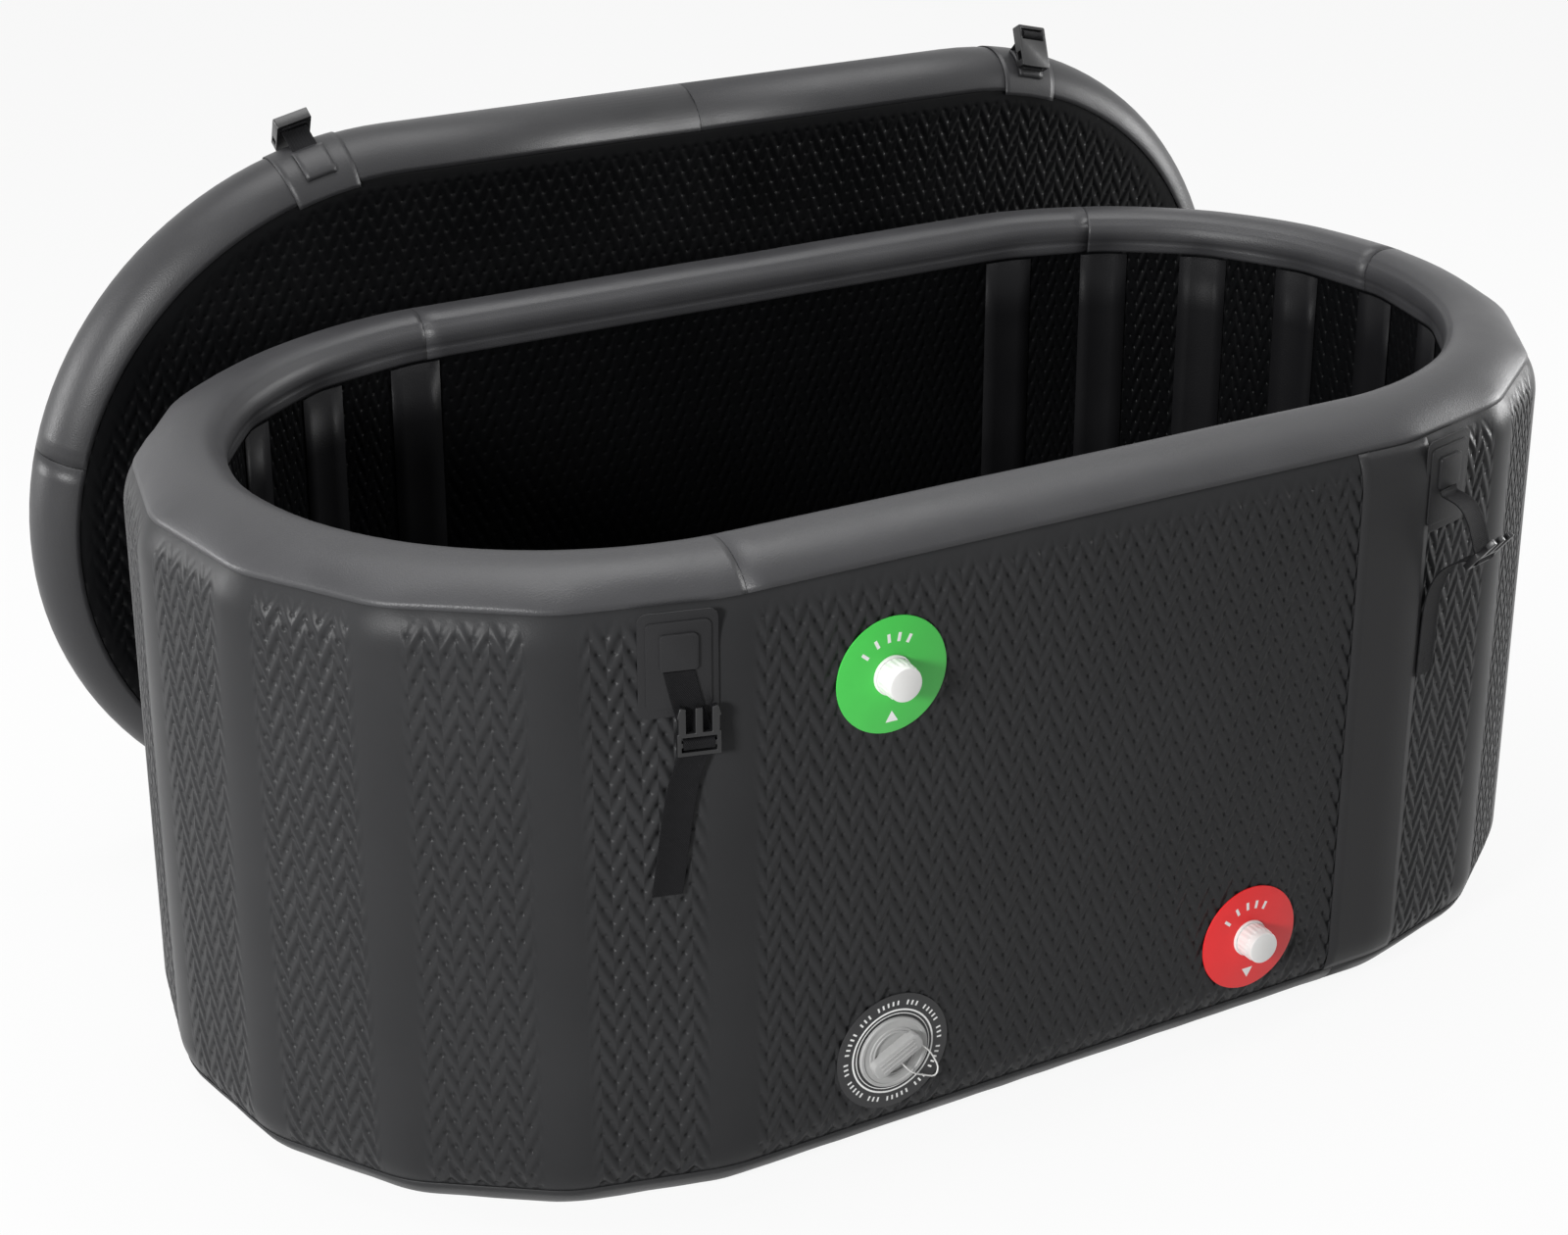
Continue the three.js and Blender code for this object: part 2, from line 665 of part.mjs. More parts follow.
// Water fitting: coloured disc, threaded pipe through the wall, gasket, nut and ribbed cap
function waterFitting(name, { x, z, colour }) {
  const seat = frame(tub, x, -TUB_WIDTH / 2, z);
  const discTop = CLEAR + DISC;
  const collarTop = discTop + CLEAR + COLLAR;
  const tip = collarTop + CLEAR + PIPE_THREAD;
  const nutSeat = FLAT_WALL + CLEAR + GASKET + CLEAR;
  const pipeEnd = nutSeat + NUT + PIPE_PAST_NUT;
  const around = PIPE_RADIUS + CLEAR;
  add(`${name}_disc`, turnedRing(around, DISC_RADIUS, CLEAR, discTop), material(colour, 0.4), seat);
  const pipeProfile = [
    [PIPE_BORE, -pipeEnd],
    [PIPE_BORE, tip],
    [PIPE_RADIUS, tip],
    [PIPE_RADIUS, collarTop],
    [COLLAR_RADIUS, collarTop],
    [COLLAR_RADIUS, discTop + CLEAR],
    [PIPE_RADIUS, discTop + CLEAR],
    [PIPE_RADIUS, -pipeEnd],
    [PIPE_BORE, -pipeEnd],
  ];
  add(`${name}_pipe`, turned(pipeProfile), WHITE, seat);
  const gasketFrom = -(FLAT_WALL + CLEAR + GASKET);
  add(`${name}_gasket`, turnedRing(around, GASKET_RADIUS, gasketFrom, -(FLAT_WALL + CLEAR)), BLACK, seat);
  const nut = new THREE.CylinderGeometry(NUT_RADIUS, NUT_RADIUS, NUT, NUT_SIDES);
  const nutHole = new THREE.CylinderGeometry(around, around, 2 * NUT, ROUND);
  add(`${name}_lock_nut`, cut(nut, nutHole).translate(0, nutSeat + NUT / 2, 0), WHITE, seat);
  const outlineOfCap = new THREE.Shape();
  const capPoints = 2 * CAP_RIBS;
  for (let i = 0; i < capPoints; i++) {
    const radius = CAP_RADIUS - (i % 2) * CAP_RIB_DEPTH;
    const angle = (i / capPoints) * 2 * Math.PI;
    const corner = [radius * Math.cos(angle), radius * Math.sin(angle)];
    if (i) outlineOfCap.lineTo(...corner);
    else outlineOfCap.moveTo(...corner);
  }
  const capFrom = collarTop + CLEAR;
  const capHollow = tip + CLEAR;
  const hollow = new THREE.CylinderGeometry(around, around, 2 * (capHollow - capFrom), ROUND);
  const cap = cut(flat(outlineOfCap, capFrom, capHollow + CAP_END), hollow.translate(0, -capFrom, 0));
  add(`${name}_cap`, cap, WHITE, seat);
  seat.name = `${name}_axis`;
}
waterFitting("water_in", WATER_IN);
waterFitting("water_out", WATER_OUT);

// A coil for the valve's return spring
class Helix extends THREE.Curve {
  constructor(radius, from, to, turns) {
    super();
    Object.assign(this, { radius, from, to, turns });
  }
  getPoint(share, target = new THREE.Vector3()) {
    const angle = share * this.turns * 2 * Math.PI;
    const out = THREE.MathUtils.lerp(this.from, this.to, share);
    return target.set(this.radius * Math.cos(angle), -out, this.radius * Math.sin(angle));
  }
}

function roundSection(radius, sides) {
  const shape = new THREE.Shape();
  for (let i = 0; i < sides; i++) {
    const angle = (i / sides) * 2 * Math.PI;
    const corner = [radius * Math.cos(angle), radius * Math.sin(angle)];
    if (i) shape.lineTo(...corner);
    else shape.moveTo(...corner);
  }
  return shape;
}

// Inflation valve: glued patch, flanged barrel with its back nut, sprung poppet and wing cap
function inflationValve(prefix, seat, turn) {
  const patchTop = CLEAR + VALVE_PATCH;
  const flangeFrom = patchTop + CLEAR;
  const flangeTop = flangeFrom + FLANGE;
  const seatUnder = -(CUP_DEPTH + SEAT);
  const around = BARREL_RADIUS + CLEAR;
  const patch = turnedRing(around, VALVE_PATCH_RADIUS, CLEAR, patchTop);
  add(`${prefix}valve_patch`, patch, BLACK, seat);
  const bodyProfile = [
    [SEAT_HOLE, seatUnder],
    [SEAT_HOLE, -CUP_DEPTH],
    [CUP_RADIUS, -CUP_DEPTH],
    [CUP_RADIUS, flangeTop],
    [FLANGE_RADIUS, flangeTop],
    [FLANGE_RADIUS, flangeFrom],
    [BARREL_RADIUS, flangeFrom],
    [BARREL_RADIUS, -BARREL_DEPTH],
    [CHAMBER_RADIUS, -BARREL_DEPTH],
    [CHAMBER_RADIUS, seatUnder],
    [SEAT_HOLE, seatUnder],
  ];
  add(`${prefix}valve_body`, turned(bodyProfile), GREY, seat);
  const nutTop = -(SKIN + CLEAR);
  add(`${prefix}valve_back_nut`, turnedRing(around, BACK_NUT_RADIUS, nutTop - BACK_NUT, nutTop), GREY, seat);
  const buttonTop = -BUTTON_BELOW_SKIN;
  const buttonUnder = buttonTop - BUTTON;
  const poppetTop = seatUnder - CLEAR;
  const poppetProfile = [
    [0, poppetTop - POPPET],
    [0, buttonTop],
    [BUTTON_RADIUS, buttonTop],
    [BUTTON_RADIUS, buttonUnder],
    [STEM_RADIUS, buttonUnder],
    [STEM_RADIUS, poppetTop],
    [POPPET_RADIUS, poppetTop],
    [POPPET_RADIUS, poppetTop - POPPET],
    [0, poppetTop - POPPET],
  ];
  add(`${prefix}valve_poppet`, turned(poppetProfile), GREY, seat);
  const springEnd = SPRING_WIRE + CLEAR;
  const coil = new Helix(SPRING_RADIUS, -CUP_DEPTH + springEnd, buttonUnder - springEnd, SPRING_TURNS);
  const coilOptions = { steps: 8 * SPRING_TURNS, extrudePath: coil };
  const spring = new THREE.ExtrudeGeometry(roundSection(SPRING_WIRE, 5), coilOptions);
  add(`${prefix}valve_spring`, spring, STEEL, seat);
  const wingFrom = flangeTop + CLEAR;
  const stopper = new THREE.CylinderGeometry(
    CUP_RADIUS - CLEAR, CUP_RADIUS - CLEAR, PLUG_DEPTH + wingFrom + CLEAR, ROUND,
  ).translate(0, (PLUG_DEPTH - wingFrom - CLEAR) / 2, 0);
  const wingShape = roundedRectangle(WING_LENGTH, WING_WIDTH, WING_WIDTH / 3);
  const wing = flat(wingShape, wingFrom, wingFrom + WING_HEIGHT);
  add(`${prefix}valve_cap`, join(stopper, wing), GREY, seat).rotation.y = -turn;
  return { flangeTop, patchTop, wingFrom };
}

const valveSeat = frame(tub, VALVE.x, -TUB_WIDTH / 2, VALVE.z);
valveSeat.name = "valve_axis";
const valve = inflationValve("", valveSeat, VALVE_TURN);

// Lanyard from the wing's lower side to the flange, hanging in a loop
const wingMid = valve.wingFrom + WING_HEIGHT / 2;
const lanyardStart = WING_WIDTH / 2 + CLEAR;
const lanyardLift = valve.flangeTop + CLEAR + LANYARD_RADIUS;
const lanyardEnd = LANYARD_LOOP.at(-1).map((share) => share * FLANGE_RADIUS);
const onWing = (distance) => [
  Math.sin(VALVE_TURN) * distance,
  wingMid,
  -Math.cos(VALVE_TURN) * distance,
];
const onLoop = ([across, up, off]) => {
  const beyond = Math.hypot(across, up) > 1 + off;
  const lift = beyond ? valve.patchTop + 4 * LANYARD_RADIUS : lanyardLift + off * LANYARD_RADIUS;
  return [across * FLANGE_RADIUS, lift, up * FLANGE_RADIUS];
};
const lanyardPath = new THREE.CatmullRomCurve3(
  [
    onWing(lanyardStart),
    onWing(lanyardStart + 4 * LANYARD_RADIUS),
    ...LANYARD_LOOP.map(onLoop),
    [lanyardEnd[0], valve.flangeTop + CLEAR, lanyardEnd[1]],
  ].map(([x, out, z]) => new THREE.Vector3(x, -out, z)),
);
const lanyardSection = roundSection(LANYARD_RADIUS, 8);
const lanyard = new THREE.ExtrudeGeometry(lanyardSection, { steps: 26, extrudePath: lanyardPath });
add("valve_lanyard", lanyard, WHITE, valveSeat);

// Webbing along a path, its width along the frame's X axis
function webbing(path) {
  const faces = new Faces();
  const rings = path.map((point, i) => {
    const before = path[Math.max(i - 1, 0)];
    const after = path[Math.min(i + 1, path.length - 1)];
    const into = new THREE.Vector2(point.y - before.y, point.z - before.z).normalize();
    const out = new THREE.Vector2(after.y - point.y, after.z - point.z).normalize();
    const along = into.clone().add(out).normalize();
    const reach = WEBBING / 2 / Math.max(along.dot(into.length() ? into : out), 0.5);
    const side = new THREE.Vector3(0, -along.y * reach, along.x * reach);
    const half = new THREE.Vector3(WEBBING_WIDTH / 2, 0, 0);
    return [
      point.clone().sub(half).sub(side),
      point.clone().add(half).sub(side),
      point.clone().add(half).add(side),
      point.clone().sub(half).add(side),
    ];
  });
  for (let i = 0; i + 1 < rings.length; i++) {
    for (let j = 0; j < 4; j++) {
      const k = (j + 1) % 4;
      faces.quad(rings[i][k], rings[i][j], rings[i + 1][j], rings[i + 1][k]);
    }
  }
  faces.fan(rings[0]);
  faces.fan([...rings.at(-1)].reverse());
  return faces.geometry();
}

// A buckle stands in a frame whose X axis is its width; tilt turns its length from the Z axis.
function buckleFrame(parent, x, y, z, tilt) {
  const group = frame(parent, x, y, z, tilt);
  group.updateMatrix();
  return group;
}

// Path corners that lace webbing round a buckle's middle bar, given in the buckle's frame
function lacing(buckle, lace) {
  const corners = [[SLOT_FAR, -lace], [SLOT_FAR, lace], [SLOT_NEAR, lace], [SLOT_NEAR, -lace]];
  return corners.map(([length, out]) => new THREE.Vector3(0, -out, length).applyMatrix4(buckle.matrix));
}

function slotHoles(shape) {
  const half = BUCKLE_WIDTH / 2 - BUCKLE_SIDE;
  for (const middle of [SLOT_NEAR, SLOT_FAR]) {
    const low = middle - BUCKLE_SLOT / 2;
    const high = middle + BUCKLE_SLOT / 2;
    const hole = new THREE.Path();
    hole.moveTo(-half, low).lineTo(half, low).lineTo(half, high).lineTo(-half, high);
    hole.closePath();
    shape.holes.push(hole);
  }
  return shape;
}

function maleBuckle() {
  const half = BUCKLE_WIDTH / 2;
  const prongOut = half - BARB;
  const prongIn = prongOut - PRONG_WIDTH;
  const tipZ = BASE_LENGTH + PRONG_LENGTH;
  const barbZ = BASE_LENGTH + PRONG_LENGTH * 0.6;
  const guide = GUIDE_WIDTH / 2;
  const side = [
    [half, 0],
    [half, BASE_LENGTH],
    [prongOut, BASE_LENGTH],
    [prongOut, barbZ],
    [half, barbZ],
    [half, barbZ + BARB],
    [prongOut - BARB, tipZ],
    [prongIn, tipZ - BARB],
    [prongIn, BASE_LENGTH],
    [guide, BASE_LENGTH],
    [guide, tipZ - BARB],
  ];
  const mirrored = side.map(([x, z]) => [-x, z]).reverse();
  const shape = new THREE.Shape([...side, ...mirrored].map((corner) => new THREE.Vector2(...corner)));
  return flat(slotHoles(shape), -MALE_THICK / 2, MALE_THICK / 2);
}

function femaleBuckle() {
  const shape = roundedRectangle(BUCKLE_WIDTH, FEMALE_LENGTH, BUCKLE_SIDE / 2, 0, FEMALE_LENGTH / 2);
  const block = flat(slotHoles(shape), -FEMALE_THICK / 2, FEMALE_THICK / 2);
  const mouth = new THREE.BoxGeometry(MOUTH_WIDTH, MOUTH_HEIGHT, 2 * MOUTH_DEPTH);
  const windowZ = FEMALE_LENGTH - WINDOW_FROM_MOUTH - WINDOW_LENGTH / 2;
  const windows = new THREE.BoxGeometry(2 * BUCKLE_WIDTH, MOUTH_HEIGHT, WINDOW_LENGTH);
  return cut(block, mouth.translate(0, 0, FEMALE_LENGTH), windows.translate(0, 0, windowZ));
}

// Tub straps: a patch and a tunnel pad on the first facet of each end, with hanging webbing
const pivotOut = PAD_TOP + PIVOT_CLEAR;
const strapTop = new THREE.Vector3(0, -pivotOut, SLOT_Z);
const straps = {
  left: {
    ...STRAP_LEFT_PATH,
    side: -1,
    sway: STRAP_LEFT_SWAY,
    reach: STRAP_LEFT_REACH,
    hang: STRAP_LEFT_HANG,
    tilt: 0,
  },
  right: {
    ...STRAP_RIGHT_PATH,
    side: 1,
    sway: STRAP_RIGHT_SWAY,
    reach: STRAP_RIGHT_REACH,
    hang: STRAP_RIGHT_HANG,
    tilt: STRAP_RIGHT_TILT,
  },
};
for (const [name, { side, sway, reach, hang, tilt, buckle, drop, tail }] of Object.entries(straps)) {
  const onPath = ([x, out, down]) => new THREE.Vector3(x * sway, -out * reach, SLOT_Z - down * hang);
  const normal = rad(270) + side * FACET_ANGLE;
  const turn = side * FACET_ANGLE;
  const facet = frame(
    tub,
    side * END_CENTRE + FACET_RADIUS * Math.cos(normal) - side * PATCH_SHIFT * Math.cos(turn),
    FACET_RADIUS * Math.sin(normal) - side * PATCH_SHIFT * Math.sin(turn),
    0,
    0,
    turn,
  );
  const patchShape = roundedRectangle(PATCH_WIDTH, PATCH_HEIGHT, PATCH_CORNER, 0, PATCH_Z);
  add(`strap_patch_${name}`, flat(patchShape, CLEAR, PATCH_TOP), PANEL, facet);
  const padShape = roundedRectangle(PAD_WIDTH, PAD_HEIGHT, PATCH_CORNER / 2, 0, PATCH_Z);
  const tunnelZ = SLOT_Z + PIVOT_CLEAR + TUNNEL_HEIGHT / 2;
  const tunnelShape = roundedRectangle(TUNNEL_WIDTH, TUNNEL_HEIGHT, TUNNEL, 0, tunnelZ);
  const pad = flat(padShape, PATCH_TOP + CLEAR, PAD_TOP);
  const tunnel = flat(tunnelShape, PATCH_TOP + CLEAR, PAD_TOP + TUNNEL);
  add(`strap_tunnel_${name}`, join(pad, tunnel), PANEL, facet);
  const pivot = frame(facet, 0, -pivotOut, SLOT_Z);
  pivot.name = `strap_${name}_pivot`;
  const stand = buckleFrame(facet, ...onPath(buckle), tilt);
  add(`male_buckle_${name}`, maleBuckle(), BLACK, stand);
  const path = [strapTop, ...drop.map(onPath), ...lacing(stand, MALE_LACE), ...tail.map(onPath)];
  add(`strap_${name}`, webbing(path), WOVEN, facet);
}

// Lid: leaning on the tub's back wall, made lying flat in a frame that is then tilted
const lidZ = (LID_WIDTH / 2 - LID_THICK / 2) * Math.sin(LID_LEAN) + LID_THICK / 2;
const edgeY = TUB_WIDTH / 2 - EDGE_OUTER;
const edgeZ = SKIN_TOP - EDGE_OUTER;
const lidReach = EDGE_OUTER + CLEAR + LID_EDGE;
const lidY = edgeY + (lidReach - (lidZ - edgeZ) * Math.cos(LID_LEAN)) / Math.sin(LID_LEAN);
const lid = frame(tub, LID_X, lidY, lidZ, Math.PI - LID_LEAN);
lid.name = "lid_frame";

function lidArc(end, from, to) {
  return anglesBetween(from, to, LID_ARC_STEP).map((angle) => {
    const length = LID_RADIUS * chordShare(angle, LID_ARC_STEP);
    const arm = new THREE.Vector2(Math.cos(angle), Math.sin(angle)).multiplyScalar(length);
    return { centre: end * LID_CENTRE, arm, radius: LID_RADIUS };
  });
}

function lidSide(side, x) {
  return { centre: x, arm: new THREE.Vector2(0, side * LID_RADIUS), radius: LID_RADIUS };
}

function lidRows(from, to) {
  return arcRows(LID_EDGE, 0, LID_EDGE, from, to, LID_EDGE_STEP);
}

const lidOutline = [...lidArc(1, rad(-90), rad(90)), ...lidArc(-1, rad(90), rad(270))];
const lidSplit = CLEAR / 2 / LID_EDGE;
const faceRows = lidRows(Math.PI - lidSplit, rad(90));
add("lid_face_skin", sheet(lidOutline, faceRows, -SKIN, 0, { closed: true, cap: "last" }), PANEL, lid);
const backRows = lidRows(rad(270), Math.PI + lidSplit);
const backSkin = sheet(lidOutline, backRows, -SKIN, 0, { closed: true, cap: "first" });
add("lid_back_skin", cut(backSkin, lidHole(BARREL_RADIUS + CLEAR, barrelReach)), PANEL, lid);
const lidCore = plug(lidOutline, lidRows(rad(270), rad(90)), CORE_OFFSET);
const lidHoles = [
  lidHole(BARREL_RADIUS + CLEAR, barrelReach),
  lidHole(BACK_NUT_RADIUS + CLEAR, pocketReach),
];
add("lid_drop_stitch_core", cut(lidCore, ...lidHoles), YARN, lid);

// Lid rim tape in three lengths
const rimTurn = Math.acos(1 - LID_RIM_INSET / (LID_THICK / 2));
const lidRimRows = lidRows(Math.PI + rimTurn, Math.PI - rimTurn);
const lidGap = CLEAR / LID_RADIUS;
const lidRim = {
  lid_rim_tape_right: [...lidArc(1, LID_SEAM_RIGHT + lidGap, rad(90)), lidSide(BACK, 0)],
  lid_rim_tape_left: [lidSide(BACK, -CLEAR), ...lidArc(-1, rad(90), LID_SEAM_LEFT)],
  lid_rim_tape_bottom: [
    ...lidArc(-1, LID_SEAM_LEFT + lidGap, rad(270)),
    ...lidArc(1, rad(-90), LID_SEAM_RIGHT),
  ],
};
for (const [name, stations] of Object.entries(lidRim))
  add(name, sheet(stations, lidRimRows, CLEAR, LAP), SMOOTH, lid);

// Lid straps: patch, tunnel, webbing and female buckle, in line with the tub's straps
const lidStraps = {
  left: {
    side: -1,
    up: LID_BUCKLE_LEFT_UP,
    out: LID_BUCKLE_LEFT_OUT,
    tilt: LID_BUCKLE_LEFT_TILT,
    flip: 1,
  },
  right: {
    side: 1,
    up: LID_BUCKLE_RIGHT_UP,
    out: LID_BUCKLE_RIGHT_OUT,
    tilt: LID_BUCKLE_RIGHT_TILT,
    flip: -1,
  },
};
const lidPatchTop = LAP + CLEAR + PATCH;
const lidTunnelTop = lidPatchTop + CLEAR + TUNNEL;
for (const [name, { side, up, out, tilt, flip }] of Object.entries(lidStraps)) {
  const middle = rad(90) - side * LID_STRAP_CHORD * LID_ARC_STEP;
  const acrossRim = (width) => {
    const spread = width / 2 / LID_RADIUS;
    return lidArc(side, middle - spread, middle + spread);
  };
  const patchRows = lidRows(Math.PI - LID_PATCH_BACK, Math.PI - LID_PATCH_FRONT);
  const patch = sheet(acrossRim(LID_PATCH_WIDTH), patchRows, LAP + CLEAR, lidPatchTop);
  add(`lid_strap_patch_${name}`, patch, PANEL, lid);
  const tunnelRows = lidRows(Math.PI - LID_TUNNEL_BACK, Math.PI - LID_TUNNEL_FRONT);
  const tunnel = sheet(acrossRim(TUNNEL_WIDTH), tunnelRows, lidPatchTop + CLEAR, lidTunnelTop);
  add(`lid_strap_tunnel_${name}`, tunnel, PANEL, lid);
  const hub = frame(lid, side * LID_CENTRE, 0, 0, 0, middle - rad(90));
  const edge = frame(hub, 0, LID_RADIUS * Math.cos(LID_ARC_STEP / 2) + LAP, 0);
  const rootChord = chordShare(LID_STRAP_ROOT, LID_EDGE_STEP);
  const rootRadius = (LID_THICK / 2 + PATCH_TOP) * rootChord + PIVOT_CLEAR;
  const rootUp = rootRadius * Math.cos(LID_STRAP_ROOT) - LID_THICK / 2;
  const rootOut = rootRadius * Math.sin(LID_STRAP_ROOT);
  const pivot = frame(edge, 0, rootUp, rootOut);
  pivot.name = `lid_strap_${name}_pivot`;
  const stand = buckleFrame(edge, 0, up, out, tilt);
  add(`female_buckle_${name}`, femaleBuckle(), BLACK, stand);
  const path = [new THREE.Vector3(0, rootUp, rootOut), ...lacing(stand, flip * FEMALE_LACE)];
  add(`lid_strap_${name}`, webbing(path), WOVEN, edge);
}

// Lid inflation valve on the face turned away from the tub
const lidValveSeat = frame(lid, LID_VALVE.x, LID_VALVE.y, -LID_EDGE, rad(90));
lidValveSeat.name = "lid_valve_axis";
inflationValve("lid_", lidValveSeat, LID_VALVE_TURN);

export default tub;
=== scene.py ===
import math
from functools import partial

import bmesh
import bpy
from mathutils import Matrix, Vector, geometry, noise


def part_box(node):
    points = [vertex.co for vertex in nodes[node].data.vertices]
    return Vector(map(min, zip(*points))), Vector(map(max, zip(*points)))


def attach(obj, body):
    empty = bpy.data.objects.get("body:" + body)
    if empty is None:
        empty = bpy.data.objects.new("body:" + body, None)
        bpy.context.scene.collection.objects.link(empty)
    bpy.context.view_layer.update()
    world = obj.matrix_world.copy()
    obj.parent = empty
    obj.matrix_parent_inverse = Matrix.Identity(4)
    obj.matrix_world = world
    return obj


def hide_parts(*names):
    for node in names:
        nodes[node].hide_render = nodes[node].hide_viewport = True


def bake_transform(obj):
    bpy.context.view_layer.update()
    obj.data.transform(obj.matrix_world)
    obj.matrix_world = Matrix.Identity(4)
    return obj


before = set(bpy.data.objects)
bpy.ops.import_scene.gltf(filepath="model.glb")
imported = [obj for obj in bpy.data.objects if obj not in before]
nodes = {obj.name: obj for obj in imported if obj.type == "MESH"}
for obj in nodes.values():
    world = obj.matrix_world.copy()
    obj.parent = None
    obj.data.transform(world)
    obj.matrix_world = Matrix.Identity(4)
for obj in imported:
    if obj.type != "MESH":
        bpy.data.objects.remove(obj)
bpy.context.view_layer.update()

# Camera: a long lens to the left of the front, a little above the rim, as the photograph was taken.
# The picture is a crop, so its middle lies away from the lens axis.
IMAGE = (1600, 1260)
LENS_PIXELS = 2983.2
LENS_AXIS = (906.7, 441.0)
CAMERA_PLACE = Vector((-1.3339, -2.2557, 1.5381))
CAMERA_TURN, CAMERA_TILT, CAMERA_ROLL = math.radians(-30.98), math.radians(21.24), math.radians(0.754)
scene = bpy.context.scene
lens = bpy.data.cameras.new("camera")
camera = bpy.data.objects.new("camera", lens)
scene.collection.objects.link(camera)
scene.camera = camera
lens.sensor_width = 36
lens.lens = LENS_PIXELS / IMAGE[0] * lens.sensor_width
lens.shift_x = (IMAGE[0] / 2 - LENS_AXIS[0]) / IMAGE[0]
lens.shift_y = (LENS_AXIS[1] - IMAGE[1] / 2) / IMAGE[0]
camera_back = Vector((
    math.sin(CAMERA_TURN) * math.cos(CAMERA_TILT),
    -math.cos(CAMERA_TURN) * math.cos(CAMERA_TILT),
    math.sin(CAMERA_TILT),
))
camera_right = Vector((math.cos(CAMERA_TURN), math.sin(CAMERA_TURN), 0))
camera_up = camera_back.cross(camera_right)
camera_axes = Matrix((camera_right, camera_up, camera_back)).transposed()
camera_axes = camera_axes @ Matrix.Rotation(CAMERA_ROLL, 3, "Z")
camera.matrix_world = Matrix.Translation(CAMERA_PLACE) @ camera_axes.to_4x4()

# Valve cap lanyard: a thin white plastic cord, moulded to the wing of the valve cap at one end and let
# into the valve's flange at the other. It hangs in one loop past the edge of the flange.
LANYARD = 0.0015
CLEAR = 0.0003
FLANGE_RADIUS, FLANGE_TOP = 0.034, 0.0046
WING_TURN, WING_MIDDLE = math.radians(27), 0.0089


def wall_seat(node):
    """The frame of a round fitting on the front wall: X to the right, -Y out of the wall."""
    low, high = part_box(node)
    return Matrix.Translation(((low.x + high.x) / 2, high.y + CLEAR, (low.z + high.z) / 2))


def on_wing(distance):
    return Vector((math.sin(WING_TURN) * distance, -WING_MIDDLE, -math.cos(WING_TURN) * distance))


def on_flange(across, up, lift):
    return Vector((across * FLANGE_RADIUS, -lift, up * FLANGE_RADIUS))


lanyard_stops = [
    on_wing(0.0091), on_wing(0.0121), on_flange(0.5, -0.706, 0.00765), on_flange(0.912, -0.971, 0.0043),
    on_flange(1.235, -1.088, 0.0043), on_flange(1.324, -0.853, 0.0043), on_flange(1.147, -0.441, 0.0043),
    on_flange(0.941, -0.147, 0.00715), on_flange(0.824, -0.03, 0.00765), on_flange(0.779, 0, 0.00625),
    on_flange(0.779, 0, FLANGE_TOP + CLEAR),
]
lanyard_path = [lanyard_stops[0]]
for number in range(len(lanyard_stops) - 1):
    before, a, b, after = (
        lanyard_stops[max(0, min(len(lanyard_stops) - 1, number + k))] for k in (-1, 0, 1, 2)
    )
    lanyard_path += geometry.interpolate_bezier(a, a + (b - before) / 6, b - (after - a) / 6, b, 4)[1:]
lanyard_path = [wall_seat("valve_patch") @ point for point in lanyard_path]


def shader(name, roughness=0.5, specular=0.5):
    material = bpy.data.materials.new(name)
    material.use_nodes = True
    surface = material.node_tree.nodes["Principled BSDF"]
    surface.inputs["Roughness"].default_value = roughness
    surface.inputs["Specular IOR Level"].default_value = specular
    return material, material.node_tree, surface


def maths(tree, operation, *values):
    node = tree.nodes.new("ShaderNodeMath")
    node.operation = operation
    for socket, value in zip(node.inputs, values):
        if isinstance(value, (int, float)):
            socket.default_value = value
        else:
            tree.links.new(value, socket)
    return node.outputs[0]


def textured(tree, kind, place, scale):
    """A texture fixed to the piece, with that many marks to the metre."""
    texture = tree.nodes.new(f"ShaderNodeTex{kind}")
    texture.inputs["Scale"].default_value = scale
    tree.links.new(place["Object"], texture.inputs["Vector"])
    return texture


def mottled_colour(tree, surface, dark, pale, scale):
    """Two close shades mixed by a soft cloud, so that no surface is one flat colour."""
    place = tree.nodes.new("ShaderNodeTexCoord").outputs
    cloud = textured(tree, "Noise", place, scale)
    cloud.inputs["Detail"].default_value = 4
    shade = tree.nodes.new("ShaderNodeMix")
    shade.data_type = "RGBA"
    shade.inputs["A"].default_value = dark
    shade.inputs["B"].default_value = pale
    tree.links.new(cloud.outputs["Fac"], shade.inputs["Factor"])
    tree.links.new(shade.outputs["Result"], surface.inputs["Base Color"])
    return place, cloud.outputs["Fac"]


def uneven_gloss(tree, surface, cloud, smooth, rough):
    """Roughness that wanders with the cloud, whose middle values spread over the whole range."""
    spread = tree.nodes.new("ShaderNodeMapRange")
    limits = {"From Min": 0.3, "From Max": 0.7, "To Min": smooth, "To Max": rough}
    for limit, value in limits.items():
        spread.inputs[limit].default_value = value
    tree.links.new(cloud, spread.inputs["Value"])
    tree.links.new(spread.outputs["Result"], surface.inputs["Roughness"])


def relief(tree, surface, height, distance):
    bump = tree.nodes.new("ShaderNodeBump")
    bump.inputs["Distance"].default_value = distance
    bump.inputs["Strength"].default_value = 1
    tree.links.new(height, bump.inputs["Height"])
    tree.links.new(bump.outputs["Normal"], surface.inputs["Normal"])


def plastic(name, dark, pale, roughness=0.4, scale=60, grain=0.0001):
    """A moulded plastic: two close shades and a faint unevenness left by the mould."""
    material, tree, surface = shader(name, roughness, 0.5)
    cloud = mottled_colour(tree, surface, dark, pale, scale)[1]
    relief(tree, surface, cloud, grain)
    return material


